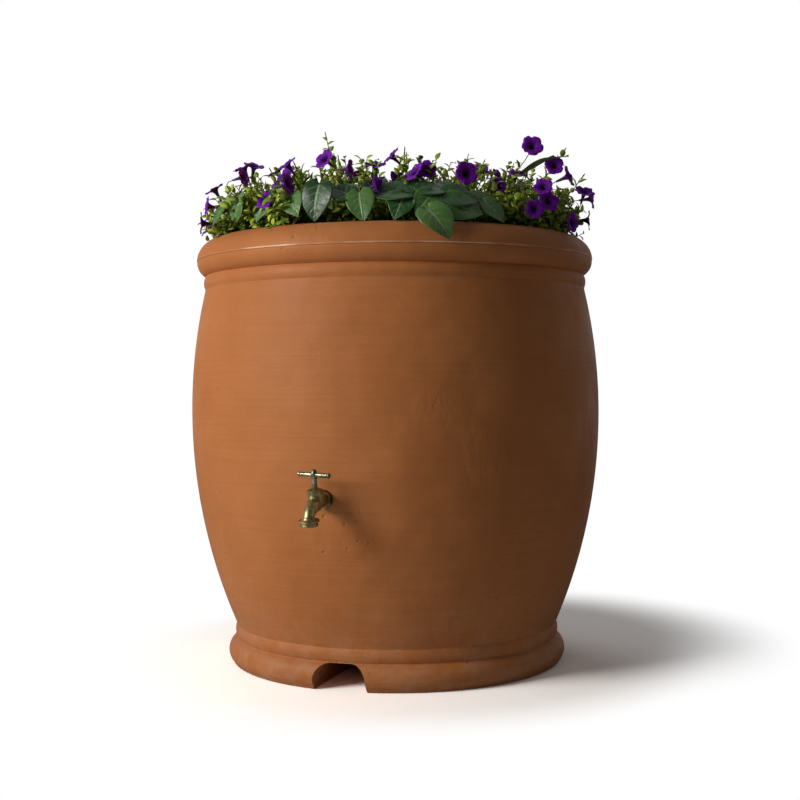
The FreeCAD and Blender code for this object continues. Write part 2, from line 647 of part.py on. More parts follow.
def spigot_body():
    """Cast brass body: threaded shank, wrench hexagon, valve chamber, bent spout and hose thread."""
    stem = {"y": -STEM_OUT}
    outlet = {"y": -STEM_OUT - SPOUT_OUT}
    hex_face = -GASKET_THICK - HEX_LENGTH
    body = hexagon(HEX_ACROSS_FLATS, hex_face, -GASKET_THICK)
    body = body.fuse(rod(SHANK_RADIUS, hex_face, SHANK_TAIL))
    chamber = CHAMBER_RADIUS - CAST_EASE
    waist_foot = Vector(0, -STEM_OUT, 0)
    waist = Part.makeCone(chamber, SHANK_RADIUS + CAST_EASE / 2, STEM_OUT + hex_face, waist_foot, INWARD)
    half = math.sqrt(0.5)
    widest = (CHAMBER_RADIUS, 0)
    shoulder = (NECK_RADIUS + CAST_EASE, BODY_TOP)
    belly = turned(
        (0, -CHAMBER_RADIUS),
        [(CHAMBER_RADIUS * half, -CHAMBER_RADIUS * half), widest],
        [arc_middle(widest, shoulder, BELLY_BULGE), shoulder],
        [(NECK_RADIUS, BODY_TOP)],
        [(NECK_RADIUS, NECK_TOP)],
        [(0, NECK_TOP)],
    )
    belly.translate(INWARD * -STEM_OUT)
    spout = spout_loft(SPOUT_RADII)
    thread_top = OUTLET_TOP - OUTLET_COLLAR
    mouth = thread_top - HOSE_THREAD_LENGTH
    edge = COLLAR_OUTLET_RADIUS - CAST_EASE
    neck = SPOUT_RADII[-1]
    flare_top = OUTLET_TOP + OUTLET_FLARE
    collar = turned(
        (0, flare_top),
        [(neck, flare_top)],
        [(neck + OUTLET_FLARE / 2, OUTLET_TOP + CAST_EASE / 2), (edge, OUTLET_TOP - CAST_EASE / 2)],
        [(COLLAR_OUTLET_RADIUS, OUTLET_TOP - 1.5 * CAST_EASE)],
        [(COLLAR_OUTLET_RADIUS, thread_top + CAST_EASE)],
        [(edge, thread_top)],
        [(HOSE_THREAD_RADIUS, thread_top)],
        [(HOSE_THREAD_RADIUS, mouth)],
        [(0, mouth)],
    )
    collar.translate(INWARD * outlet["y"])
    body = body.fuse([waist, belly, spout, collar])

    # The water rises through the seat's orifice into the chamber and leaves it through the spout
    chamber_floor = SEAT_TOP - SEAT_STANDS_UP
    spout_start = Vector(0, -STEM_OUT - SPOUT_BORE_START[0], SPOUT_BORE_START[1])
    spout_run = Vector(0, -STEM_OUT - SPOUT_OUT, OUTLET_TOP - CAST_EASE) - spout_start
    drilled = Part.makeCylinder(SPOUT_BORE, spout_run.Length, spout_start, spout_run)
    drilled = drilled.cut(rod(STEM_THREAD_RADIUS + RUNNING_GAP, -CHAMBER_RADIUS, SEAT_TOP, UP, **stem))
    passages = [
        rod(INLET_BORE, -STEM_OUT, SHANK_TAIL, INWARD, z=INLET_BORE_HEIGHT),
        Part.makeSphere(INLET_BORE, Vector(0, -STEM_OUT, INLET_BORE_HEIGHT)),
        rod(SEAT_BORE, INLET_BORE_HEIGHT, SEAT_TOP, UP, **stem),
        rod(STEM_THREAD_RADIUS + RUNNING_GAP, SEAT_TOP, NECK_TOP + 1.0, UP, **stem),
        ring(STEM_THREAD_RADIUS + RUNNING_GAP, WASHER_RADIUS, chamber_floor, SEAT_TOP, UP, **stem),
        rod(OUTLET_BORE, mouth, OUTLET_TOP + 1.0, UP, **outlet),
        rod(HOSE_BORE, mouth - 1.0, thread_top + 1.0, UP, **outlet),
        drilled,
    ]
    for passage in passages:
        body = body.cut(passage)
    return body.removeSplitter()


def spigot_gasket():
    """Rubber gasket between the bibb's hexagon and the barrel."""
    inner = SHANK_RADIUS + THREAD_CLEARANCE
    return ring(SHANK_RADIUS + GASKET_STANDS_OUT, inner, -GASKET_THICK, 0)


def spigot_inner_washer():
    radius = SHANK_RADIUS + GASKET_STANDS_OUT
    seat = inner_seat(radius)
    return ring(radius, SHANK_RADIUS + THREAD_CLEARANCE, seat, seat + GASKET_THICK)


def spigot_locknut():
    seat = inner_seat(SHANK_RADIUS + GASKET_STANDS_OUT) + GASKET_THICK
    nut = hexagon(2 * (SHANK_RADIUS + GASKET_STANDS_OUT), seat, seat + LOCKNUT_THICK)
    return nut.cut(rod(SHANK_RADIUS + THREAD_CLEARANCE, seat, seat + LOCKNUT_THICK))


def packing_nut():
    """Hexagon nut screwed on the bibb's neck, with a coned top round the stem."""
    bar = hexagon(NUT_ACROSS_FLATS, BODY_TOP + RUNNING_GAP, NUT_TOP, UP)
    corner = NUT_ACROSS_FLATS / math.sqrt(3)
    cone = turned(
        (0, 0),
        [(corner, 0)],
        [(corner, NUT_TOP - NUT_CONE)],
        [(STEM_RADIUS + NUT_LIP, NUT_TOP)],
        [(0, NUT_TOP)],
    )
    nut = bar.common(cone)
    nut = nut.cut(rod(NECK_RADIUS + THREAD_CLEARANCE, BODY_TOP, NECK_TOP + RUNNING_GAP, UP))
    nut = nut.cut(rod(STEM_RADIUS + PACKING_THICK, NECK_TOP, NECK_TOP + PACKING_HEIGHT, UP))
    nut = nut.cut(rod(STEM_RADIUS + RUNNING_GAP, NECK_TOP, NUT_TOP, UP))
    nut.translate(INWARD * -STEM_OUT)
    return nut


def stem_packing():
    """Packing ring round the stem, held down by the packing nut."""
    outer = STEM_RADIUS + PACKING_THICK - RUNNING_GAP
    low = NECK_TOP + 2 * RUNNING_GAP
    top = NECK_TOP + PACKING_HEIGHT - RUNNING_GAP
    return ring(outer, STEM_RADIUS + RUNNING_GAP / 2, low, top, UP, y=-STEM_OUT)


def valve_stem():
    """Brass spindle: threaded foot over the seat washer, plain stem, square drive at the top."""
    foot = SEAT_TOP + WASHER_THICK + RUNNING_GAP
    thread_top = NECK_TOP - STEM_TRAVEL - RUNNING_GAP
    hub_foot = HANDLE_HEIGHT - HUB_HEIGHT / 2
    drive_top = HANDLE_HEIGHT + HUB_HEIGHT / 4
    stem = turned(
        (0, foot),
        [(WASHER_RADIUS, foot)],
        [(WASHER_RADIUS, foot + 1.0)],
        [(STEM_THREAD_RADIUS, foot + 1.0)],
        [(STEM_THREAD_RADIUS, thread_top)],
        [(STEM_RADIUS, thread_top)],
        [(STEM_RADIUS, hub_foot + 1.0)],
        [(0, hub_foot + 1.0)],
    )
    square = Part.makeBox(SQUARE_DRIVE, SQUARE_DRIVE, drive_top - hub_foot)
    square.translate(Vector(-SQUARE_DRIVE / 2, -SQUARE_DRIVE / 2, hub_foot))
    square = square.common(rod(STEM_RADIUS, hub_foot, drive_top, UP))
    square.rotate(CENTRE, UP, HANDLE_TURN_DEG)
    stem = stem.fuse(square).removeSplitter()
    tapped = SCREW_RADIUS + RUNNING_GAP
    stem = stem.cut(rod(tapped, foot, SEAT_TOP + WASHER_THICK + SCREW_DEPTH + 0.5, UP))
    stem = stem.cut(rod(tapped, HANDLE_HEIGHT - SCREW_DEPTH - 0.5, drive_top, UP))
    stem.translate(INWARD * -STEM_OUT)
    return stem


def seat_washer():
    low = SEAT_TOP + RUNNING_GAP
    inner = SCREW_RADIUS + RUNNING_GAP
    return ring(WASHER_RADIUS - RUNNING_GAP, inner, low, SEAT_TOP + WASHER_THICK, UP, y=-STEM_OUT)


def seat_washer_screw():
    """Screw that holds the seat washer under the stem; its head hangs in the seat's orifice."""
    low = SEAT_TOP - SEAT_SCREW_HEAD
    reach = 2 * SEAT_SCREW_HEAD_RADIUS
    head = rod(SEAT_SCREW_HEAD_RADIUS, low, SEAT_TOP, UP)
    slot = Part.makeBox(2 * reach, SCREW_SLOT, SCREW_SLOT, Vector(-reach, -SCREW_SLOT / 2, low))
    shank = rod(SCREW_RADIUS, SEAT_TOP, SEAT_TOP + WASHER_THICK + SCREW_DEPTH, UP)
    screw = head.fuse(shank).cut(slot)
    screw.translate(INWARD * -STEM_OUT)
    return screw


def tee_handle():
    """Cast tee handle: a hub on the stem's square and two tapered arms with rounded ends."""
    half = HANDLE_LENGTH / 2
    arm = turned(
        (0, 0),
        [(ARM_RADIUS, 0)],
        [(ARM_END_RADIUS, half - KNOB_LENGTH)],
        [(KNOB_RADIUS, half - KNOB_LENGTH + KNOB_EASE)],
        [(KNOB_RADIUS, half - KNOB_EASE)],
        [(KNOB_RADIUS - KNOB_EASE, half)],
        [(0, half)],
    )
    arm.rotate(CENTRE, INWARD, 90)
    other = arm.copy()
    other.rotate(CENTRE, UP, 180)
    low = -HUB_HEIGHT / 2
    high = HUB_HEIGHT / 2
    hub = turned(
        (0, low),
        [(HUB_RADIUS - CAST_EASE, low)],
        [(HUB_RADIUS, low + 1.5 * CAST_EASE)],
        [(HUB_RADIUS, high - 3 * CAST_EASE)],
        [(HUB_RADIUS - CAST_EASE, high)],
        [(0, high)],
    )
    handle = hub.fuse([arm, other])
    drive_half = SQUARE_DRIVE / 2 + RUNNING_GAP
    drive = Part.makeBox(2 * drive_half, 2 * drive_half, HUB_HEIGHT / 2 + HUB_HEIGHT / 4 + RUNNING_GAP)
    drive.translate(Vector(-drive_half, -drive_half, low))
    drive = drive.common(rod(STEM_RADIUS + RUNNING_GAP, low, high, UP))
    handle = handle.cut(drive).cut(rod(SCREW_RADIUS + 2 * RUNNING_GAP, 0, high, UP))
    handle = handle.cut(rod(STEM_RADIUS + RUNNING_GAP, low, low + CAST_EASE + RUNNING_GAP, UP))
    handle.rotate(CENTRE, UP, HANDLE_TURN_DEG)
    handle.translate(Vector(0, -STEM_OUT, HANDLE_HEIGHT))
    return handle


def handle_screw():
    """Slotted round-head screw down the middle of the handle."""
    seat = HANDLE_HEIGHT + HUB_HEIGHT / 2
    edge = (SCREW_HEAD_RADIUS, seat + SCREW_HEAD_HEIGHT / 3)
    crown = (0, seat + SCREW_HEAD_HEIGHT)
    head = turned(
        (0, seat),
        [(SCREW_HEAD_RADIUS, seat)],
        [edge],
        [arc_middle(edge, crown, SCREW_HEAD_HEIGHT / 5), crown],
    )
    reach = 2 * SCREW_HEAD_RADIUS
    slot_foot = Vector(-reach, -SCREW_SLOT / 2, seat + SCREW_HEAD_HEIGHT - 1.2 * SCREW_SLOT)
    slot = Part.makeBox(2 * reach, SCREW_SLOT, 2 * SCREW_SLOT, slot_foot)
    slot.rotate(CENTRE, UP, -3 * HANDLE_TURN_DEG)
    screw = head.cut(slot).fuse(rod(SCREW_RADIUS, HANDLE_HEIGHT - SCREW_DEPTH, seat, UP))
    screw.translate(INWARD * -STEM_OUT)
    return screw


# ---- Bulkhead fittings, in the fitting frame ----
def bulkhead_fitting():
    """Moulded fitting: hexagon flange, hose nozzle outside and threaded shank inside."""
    flange_face = -BULKHEAD_GASKET - BULKHEAD_FLANGE_THICK
    nozzle_end = flange_face - BULKHEAD_NOZZLE
    flange = rod(BULKHEAD_FLANGE, flange_face + BULKHEAD_FACE, -BULKHEAD_GASKET)
    grip = hexagon(BULKHEAD_GRIP, flange_face, -BULKHEAD_GASKET)
    fitting = flange.fuse([grip, rod(BULKHEAD_SHANK, -BULKHEAD_GASKET, BULKHEAD_TAIL)])
    fitting = fitting.fuse(rod(HOSE_THREAD_RADIUS, nozzle_end, flange_face))
    return fitting.cut(rod(BULKHEAD_BORE, nozzle_end, BULKHEAD_TAIL)).removeSplitter()


def bulkhead_gasket():
    return ring(BULKHEAD_FLANGE - 1.0, BULKHEAD_SHANK + THREAD_CLEARANCE, -BULKHEAD_GASKET, 0)


def bulkhead_locknut(seat):
    """Locknut with a washer face, run up inside the barrel until it meets the wall at seat."""
    hex_size = 2 * BULKHEAD_SHANK + 2 * LOCKNUT_RIM
    hex_foot = seat + BULKHEAD_FACE
    nut = hexagon(hex_size, hex_foot, hex_foot + LOCKNUT_THICK)
    nut = nut.fuse(rod(BULKHEAD_FLANGE, seat, hex_foot))
    return nut.cut(rod(BULKHEAD_SHANK + THREAD_CLEARANCE, seat, hex_foot + LOCKNUT_THICK))


def drain_cap():
    """Hand cap screwed over the drain's nozzle, with finger grooves round it."""
    nozzle_end = -BULKHEAD_GASKET - BULKHEAD_FLANGE_THICK - BULKHEAD_NOZZLE
    inner = HOSE_THREAD_RADIUS + THREAD_CLEARANCE
    outer = inner + CAP_WALL
    floor = nozzle_end - CAP_WASHER - 2 * RUNNING_GAP
    skirt = nozzle_end + BULKHEAD_NOZZLE - CAP_BELOW_FLANGE
    cap = turned(
        (0, 0),
        [(outer - CAP_EDGE, 0)],
        [(outer, CAP_EDGE)],
        [(outer, skirt - floor + CAP_WALL)],
        [(0, skirt - floor + CAP_WALL)],
    )
    cap.rotate(CENTRE, SIDEWAYS, -90)
    cap.translate(INWARD * (floor - CAP_WALL))
    cap = cap.cut(rod(inner, floor, skirt + 1))
    grips = []
    for step in range(CAP_GRIPS):
        angle = 2 * math.pi * step / CAP_GRIPS
        out = outer + CAP_GRIP_OUT
        place = {"x": out * math.cos(angle), "z": out * math.sin(angle)}
        grips.append(rod(CAP_GRIP_RADIUS, floor - CAP_WALL - 1, skirt + 1, INWARD, **place))
    return cap.cut(Part.makeCompound(grips))


def drain_cap_washer():
    nozzle_end = -BULKHEAD_GASKET - BULKHEAD_FLANGE_THICK - BULKHEAD_NOZZLE
    return rod(HOSE_THREAD_RADIUS, nozzle_end - CAP_WASHER - RUNNING_GAP, nozzle_end - RUNNING_GAP)


# ---- The whole object ----
def model():
    """Every sub-part in its place, by node name."""
    parts = {
        "barrel_shell": barrel_shell(),
        "barrel_base": barrel_base(),
        "base_recess_cup": base_recess_cup(),
        "hose_channel_arch": hose_channel_arch(),
        "planter_top": planter_top(),
        "planter_drain_strainers": planter_drain_strainers(),
        "potting_soil": potting_soil(),
        "petunia_plants": petunia_plants(),
        "trailing_vine": trailing_vine(),
        "strainer_basket": strainer_basket(),
        "strainer_mesh": strainer_mesh(),
        "overflow_fitting": on_wall(bulkhead_fitting(), 180, OVERFLOW_HEIGHT),
        "overflow_gasket": on_wall(bulkhead_gasket(), 180, OVERFLOW_HEIGHT),
        "overflow_locknut": on_wall(bulkhead_locknut(inner_seat(BULKHEAD_FLANGE)), 180, OVERFLOW_HEIGHT),
        "drain_fitting": under_recess(bulkhead_fitting()),
        "drain_gasket": under_recess(bulkhead_gasket()),
        "drain_locknut": under_recess(bulkhead_locknut(WALL + RUNNING_GAP)),
        "drain_cap": under_recess(drain_cap()),
        "drain_cap_washer": under_recess(drain_cap_washer()),
    }
    bibb = [
        spigot_body,
        spigot_gasket,
        spigot_inner_washer,
        spigot_locknut,
        packing_nut,
        stem_packing,
        valve_stem,
        seat_washer,
        seat_washer_screw,
        tee_handle,
        handle_screw,
    ]
    for piece in bibb:
        parts[piece.__name__] = on_wall(piece(), 0, SPIGOT_HEIGHT)
    return parts


def main():
    os.makedirs("parts", exist_ok=True)
    for name, shape in model().items():
        solids = shape.Solids
        whole = solids[0] if len(solids) == 1 else Part.makeCompound(solids)
        whole.exportStep(os.path.join("parts", name + ".step"))
        print(name, len(solids), whole.isValid(), round(whole.Volume / 1000, 2), "cm3")


main()
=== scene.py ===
import json
import math
import random

import bmesh
import bpy
from mathutils import Matrix, Vector, noise


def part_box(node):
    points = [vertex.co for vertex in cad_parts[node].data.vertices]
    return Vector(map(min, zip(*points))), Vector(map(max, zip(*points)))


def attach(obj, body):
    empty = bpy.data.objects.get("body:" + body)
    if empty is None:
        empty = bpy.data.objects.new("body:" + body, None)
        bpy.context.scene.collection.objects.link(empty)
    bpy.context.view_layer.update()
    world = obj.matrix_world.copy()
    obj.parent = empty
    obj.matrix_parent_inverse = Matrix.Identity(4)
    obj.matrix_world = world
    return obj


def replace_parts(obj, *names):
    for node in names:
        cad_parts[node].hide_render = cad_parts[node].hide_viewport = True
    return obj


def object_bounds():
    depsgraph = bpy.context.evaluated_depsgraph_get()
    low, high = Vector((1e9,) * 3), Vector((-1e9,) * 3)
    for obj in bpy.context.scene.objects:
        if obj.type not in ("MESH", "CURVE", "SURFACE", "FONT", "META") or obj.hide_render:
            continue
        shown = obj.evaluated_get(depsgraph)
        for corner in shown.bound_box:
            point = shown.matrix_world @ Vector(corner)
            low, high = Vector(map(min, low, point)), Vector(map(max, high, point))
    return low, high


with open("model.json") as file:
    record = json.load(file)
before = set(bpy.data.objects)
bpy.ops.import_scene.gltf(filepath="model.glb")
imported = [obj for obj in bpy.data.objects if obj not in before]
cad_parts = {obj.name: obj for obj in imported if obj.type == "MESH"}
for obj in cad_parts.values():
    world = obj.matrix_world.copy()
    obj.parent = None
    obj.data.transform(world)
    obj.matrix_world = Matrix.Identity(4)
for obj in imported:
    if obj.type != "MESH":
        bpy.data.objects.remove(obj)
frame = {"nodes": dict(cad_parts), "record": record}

# The studio. The barrel stands on a pale floor that runs out to white behind it.
# A broad soft lamp stands to its front left, a little above it, and a weaker one
# stands behind it. The camera looks level, from the right of the hose bibb.
scene = bpy.context.scene
for unused in ("Cube", "Light", "Camera"):
    if unused in bpy.data.objects:
        bpy.data.objects.remove(bpy.data.objects[unused])
cad_box = [list(corner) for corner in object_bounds()]


def round_from_front(degrees, radius, height):
    """A point so many degrees round from the bibb's side, counted towards +X."""
    turn = math.radians(degrees)
    return Vector((radius * math.sin(turn), -radius * math.cos(turn), height))


def keep_in_scene(thing):
    """The object, once it is part of the scene."""
    scene.collection.objects.link(thing)
    return thing


CAMERA_ROUND, CAMERA_AWAY, CAMERA_HEIGHT = 18.4, 2.321, 0.4935
camera = keep_in_scene(bpy.data.objects.new("camera", bpy.data.cameras.new("camera")))
camera.data.lens = 58.1
camera.data.sensor_width = 36
camera.matrix_world = (
    Matrix.Translation(round_from_front(CAMERA_ROUND, CAMERA_AWAY, CAMERA_HEIGHT))
    @ Matrix.Rotation(math.radians(CAMERA_ROUND - 0.2), 4, "Z")
    @ Matrix.Rotation(math.radians(90 - 0.86), 4, "X")
    @ Matrix.Rotation(math.radians(-0.33), 4, "Z")
)
scene.camera = camera
scene.view_settings.view_transform = "Standard"
BARREL_MIDDLE = 0.42


def softbox(name, degrees, climb, distance, width, power, colour):
    """A square lamp aimed at the barrel's middle from so far round and so far up."""
    lamp = keep_in_scene(bpy.data.objects.new(name, bpy.data.lights.new(name, "AREA")))
    lamp.data.size = width
    lamp.data.energy = power
    lamp.data.color = colour
    up = math.radians(climb)
    offset = round_from_front(degrees, distance * math.cos(up), distance * math.sin(up))
    lamp.location = Vector((0, 0, BARREL_MIDDLE)) + offset
    lamp.rotation_euler = offset.to_track_quat("Z", "Y").to_euler()


softbox("key_softbox", -41, 22, 3.0, 1.2, 64, (1.0, 0.97, 0.92))
softbox("back_softbox", 215, 50, 3.2, 1.6, 8, (1.0, 0.99, 0.97))


def socket_of(sockets, key):
    """A node's socket by name or number, passing over those that it isn't using."""
    if isinstance(key, int):
        return sockets[key]
    return next(s for s in sockets if s.name == key and s.enabled)


def add(tree, kind, wires=None, **choices):
    """A new node with its choices made, and each of its inputs wired or set."""
    node = tree.nodes.new(kind)
    for choice, value in choices.items():
        setattr(node, choice, value)
    for key, value in (wires or {}).items():
        if isinstance(value, bpy.types.Node):
            value = next(s for s in value.outputs if s.enabled)
        if isinstance(value, bpy.types.NodeSocket):
            tree.links.new(value, socket_of(node.inputs, key))
        else:
            socket_of(node.inputs, key).default_value = value
    return node


def between(tree, amount, first, second):
    """A number that goes from first to second as amount goes from 0 to 1."""
    return add(tree, "ShaderNodeMix", {"Factor": amount, "A": first, "B": second})


def maths(tree, operation, *terms):
    """One sum, on numbers or on what other nodes give."""
    return add(tree, "ShaderNodeMath", dict(enumerate(terms)), operation=operation)


def limits(tree, amount, low, high, least=0.0, most=1.0, **choices):
    """An amount between low and high, spread from least to most and held there."""
    return add(tree, "ShaderNodeMapRange",
               {"Value": amount, "From Min": low, "From Max": high,
                "To Min": least, "To Max": most}, **choices)


def as_object(name, worked):
    """A mesh that has been worked on, as an object of the scene."""
    mesh = bpy.data.meshes.new(name)
    worked.to_mesh(mesh)
    worked.free()
    return keep_in_scene(bpy.data.objects.new(name, mesh))


air = bpy.data.worlds.new("studio_air")
air.use_nodes = True
scene.world = air
tree = air.node_tree
ray = add(tree, "ShaderNodeLightPath").outputs
towards = add(tree, "ShaderNodeSeparateXYZ", {0: add(tree, "ShaderNodeTexCoord")})
backdrop = limits(tree, towards.outputs["Y"], -0.35, 0.55, 0.05, 0.5)
mirrored = maths(tree, "MAXIMUM", ray["Is Glossy Ray"], ray["Is Transmission Ray"])
brightness = between(tree, mirrored, 0.10, backdrop)
brightness = between(tree, ray["Is Camera Ray"], brightness, 1.0)
tree.links.new(brightness.outputs[0], tree.nodes["Background"].inputs["Strength"])
tree.nodes["Background"].inputs["Color"].default_value = (1, 1, 1, 1)

FLOOR_RADIUS = 7
FLOOR_DROP = 0.0003
disc = bmesh.new()
bmesh.ops.create_circle(disc, cap_ends=True, segments=96, radius=FLOOR_RADIUS)
bmesh.ops.translate(disc, verts=disc.verts, vec=(0, 0, -FLOOR_DROP))
floor = as_object("studio_floor", disc)

paper = bpy.data.materials.new("white_floor_paper")
paper.use_nodes = True
tree = paper.node_tree
tree.nodes.remove(tree.nodes["Principled BSDF"])
ray = add(tree, "ShaderNodeLightPath").outputs
spot = add(tree, "ShaderNodeTexCoord").outputs["Object"]
faded = 1.0
for centre, near, far in (((0, 0, 0), 0.38, 0.56), ((0.11, 0.23, 0), 0.30, 0.60)):
    away = add(tree, "ShaderNodeVectorMath", {0: spot, 1: centre}, operation="DISTANCE")
    out = limits(tree, away.outputs["Value"], near, far, interpolation_type="SMOOTHSTEP")
    faded = maths(tree, "MULTIPLY", out, faded)
plain = add(tree, "ShaderNodeBsdfDiffuse", {"Color": (0.65, 0.65, 0.65, 1)})
shadowed = add(tree, "ShaderNodeBsdfDiffuse", {"Color": (1.95, 1.95, 1.95, 1)})
white = add(tree, "ShaderNodeEmission", {"Color": (1, 1, 1, 1), "Strength": 1.0})
seen = add(tree, "ShaderNodeMixShader", {0: faded, 1: shadowed, 2: white})
whole = add(tree, "ShaderNodeMixShader", {0: ray["Is Camera Ray"], 1: plain, 2: seen})
tree.links.new(whole.outputs[0], tree.nodes["Material Output"].inputs["Surface"])
floor.data.materials.append(paper)

# The barrel and the planter that drops into it. Both are rotationally moulded in
# terracotta-coloured polyethylene, brushed round by hand while warm, with the small
# dents, pits and dust of a piece that has been handled and stood outdoors.


def shade(red, green, blue):
    """A colour as it looks on a screen, 0 to 255, as the light values of a shader."""
    return tuple(((c / 255 + 0.055) / 1.055) ** 2.4 for c in (red, green, blue)) + (1.0,)


def new_finish(name, **fixed):
    """A material, its tree and shader, and the place on the object."""
    material = bpy.data.materials.new(name)
    material.use_nodes = True
    tree = material.node_tree
    shader = tree.nodes["Principled BSDF"]
    for label, value in fixed.items():
        shader.inputs[label.replace("_", " ")].default_value = value
    return material, tree, shader, add(tree, "ShaderNodeTexCoord").outputs["Object"]


def grain(tree, place, scale, detail=2.0, rough=0.5):
    """Soft random variation, with so many patches to the metre."""
    return add(tree, "ShaderNodeTexNoise",
               {"Vector": place, "Scale": scale, "Detail": detail, "Roughness": rough})


def stretched(tree, place, sizes):
    """The place, squeezed along each axis, so that a grain on it runs in lines."""
    return add(tree, "ShaderNodeMapping", {"Vector": place, "Scale": sizes})


def ramp(tree, amount, *stops):
    """Colours that follow one another: each stop is an amount, then its red, green, blue."""
    node = add(tree, "ShaderNodeValToRGB", {"Fac": amount})
    bands = node.color_ramp.elements
    bands[0].position = stops[0][0]
    bands[1].position = stops[-1][0]
    for level, *_ in stops[1:-1]:
        bands.new(level)
    for band, (_, *colour) in zip(bands, stops):
        band.color = shade(*colour)
    return node


def tinted(tree, amount, under, over):
    """A screen colour over another one, as much as the amount says."""
    return add(tree, "ShaderNodeMix", {"Factor": amount, "A": under, "B": shade(*over)},
               data_type="RGBA")


def raised(tree, height, depth, under=None):
    """Relief of that depth in metres, on top of any relief already there."""
    wires = {"Height": height, "Distance": depth}
    if under:
        wires["Normal"] = under
    return add(tree, "ShaderNodeBump", wires)


def wire_up(shader, colour, roughness, relief):
    """Joins a finish's colour, roughness and relief to its shader."""
    tree = shader.id_data
    source = "Color" if "Color" in colour.outputs else "Result"
    tree.links.new(socket_of(colour.outputs, source), shader.inputs["Base Color"])
    tree.links.new(roughness.outputs[0], shader.inputs["Roughness"])
    tree.links.new(relief.outputs[0], shader.inputs["Normal"])


def dress(material, *nodes):
    """Gives CAD nodes their finish."""
    for node in nodes:
        frame["nodes"][node].material_slots[0].material = material


clay, tree, shader, place = new_finish("terracotta_plastic", IOR=1.5, Specular_IOR_Level=0.18)
brushed = grain(tree, stretched(tree, place, (4, 4, 190)), 1.0, 4.0, 0.62)
fine_brushed = grain(tree, stretched(tree, place, (14, 14, 640)), 1.0, 2.0)
clouds = grain(tree, place, 4.5, 5.0, 0.6)
pigment = grain(tree, place, 520.0, 1.0)
colour = ramp(tree, clouds, (0.30, 178, 109, 60), (0.52, 188, 118, 67), (0.72, 195, 126, 75))
colour = tinted(tree, limits(tree, brushed, 0.35, 0.70, 0.0, 0.30), colour, (168, 101, 54))
colour = tinted(tree, limits(tree, pigment, 0.66, 0.74, 0.0, 0.35), colour, (128, 72, 40))
height = add(tree, "ShaderNodeSeparateXYZ", {0: place}).outputs["Z"]
low_down = limits(tree, height, 0.0, 0.16, 0.55, 0.0)
dusty = limits(tree, grain(tree, place, 22.0, 6.0, 0.7), 0.42, 0.68)
colour = tinted(tree, maths(tree, "MULTIPLY", low_down, dusty), colour, (198, 156, 124))
scuffs = limits(tree, grain(tree, stretched(tree, place, (40, 40, 9)), 1.0, 5.0, 0.75),
                0.70, 0.80, 0.0, 0.4)
colour = tinted(tree, scuffs, colour, (205, 148, 108))
# A thin pale band along the planter's lip is a painted highlight, standing in for the glint on its
# edge; the same band is also made less rough, so it shines as well.
SEAM_BELOW_TOP = 0.014
LIP_ABOVE_SEAM = 0.0018
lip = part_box("barrel_shell")[1].z - SEAM_BELOW_TOP + LIP_ABOVE_SEAM
from_lip = maths(tree, "ABSOLUTE", maths(tree, "SUBTRACT", height, lip))
seam_highlight_and_gloss = maths(tree, "MULTIPLY", limits(tree, from_lip, 0.0004, 0.0016, 1.0, 0.0),
               limits(tree, grain(tree, place, 9.0, 3.0), 0.46, 0.60, 0.12, 0.8))
colour = tinted(tree, seam_highlight_and_gloss, colour, (236, 196, 164))
roughness = limits(tree, grain(tree, place, 11.0, 4.0), 0.3, 0.7, 0.48, 0.62)
roughness = between(tree, seam_highlight_and_gloss, roughness, 0.24)
some = limits(tree, grain(tree, place, 6.0, 1.0), 0.56, 0.62)
pit = add(tree, "ShaderNodeTexVoronoi", {"Vector": place, "Scale": 42.0})
pits = maths(tree, "MULTIPLY", limits(tree, pit.outputs["Distance"], 0.03, 0.16, -1.0, 0.0), some)
knocks = maths(tree, "MULTIPLY", grain(tree, stretched(tree, place, (70, 70, 38)), 1.0, 2.0),
               some)
relief = raised(tree, grain(tree, place, 15.0, 1.0), 0.0035)
relief = raised(tree, knocks, 0.0011, relief)
relief = raised(tree, pits, 0.0014, relief)
relief = raised(tree, brushed, 0.0005, relief)
relief = raised(tree, fine_brushed, 0.00012, relief)
relief = raised(tree, grain(tree, place, 330.0, 2.0), 0.00022, relief)
wire_up(shader, colour, roughness, relief)
dress(clay, "barrel_shell", "barrel_base", "base_recess_cup", "hose_channel_arch", "planter_top")

# The hose bibb, cast and turned in brass that has dulled to olive and brown in its
# hollows. Its body screws through the wall, a nut holds the packing round the stem,
# and the tee handle is squared on to the stem under a screw.
brass, tree, shader, place = new_finish("aged_brass", Metallic=1.0)
tarnish = grain(tree, place, 95.0, 7.0, 0.66)
stain = grain(tree, place, 36.0, 3.0)
colour = ramp(tree, tarnish, (0.34, 126, 110, 68), (0.50, 176, 160, 112), (0.66, 204, 192, 150))
colour = tinted(tree, limits(tree, stain, 0.50, 0.68, 0.0, 0.55), colour, (100, 94, 62))
roughness = limits(tree, tarnish, 0.35, 0.65, 0.50, 0.34)
relief = raised(tree, grain(tree, place, 240.0, 3.0), 0.00035)
relief = raised(tree, grain(tree, place, 1500.0, 2.0), 0.00008, relief)
wire_up(shader, colour, roughness, relief)
dress(brass, "spigot_body", "spigot_inner_washer", "spigot_locknut", "packing_nut",
      "seat_washer_screw")

# The tee handle and its stem. They are the same brass, worn grey and dark by the hand,
# with a turned shine left along the stem.
worn, tree, shader, place = new_finish("handled_brass", Metallic=1.0)
grime = grain(tree, place, 130.0, 6.0, 0.7)
colour = ramp(tree, grime, (0.34, 84, 86, 70), (0.52, 128, 130, 108), (0.68, 186, 184, 160))
roughness = limits(tree, grime, 0.35, 0.65, 0.44, 0.26)
relief = raised(tree, grain(tree, place, 300.0, 3.0), 0.0003)
relief = raised(tree, grain(tree, place, 1600.0, 2.0), 0.00006, relief)
wire_up(shader, colour, roughness, relief)
dress(worn, "valve_stem", "tee_handle", "handle_screw")


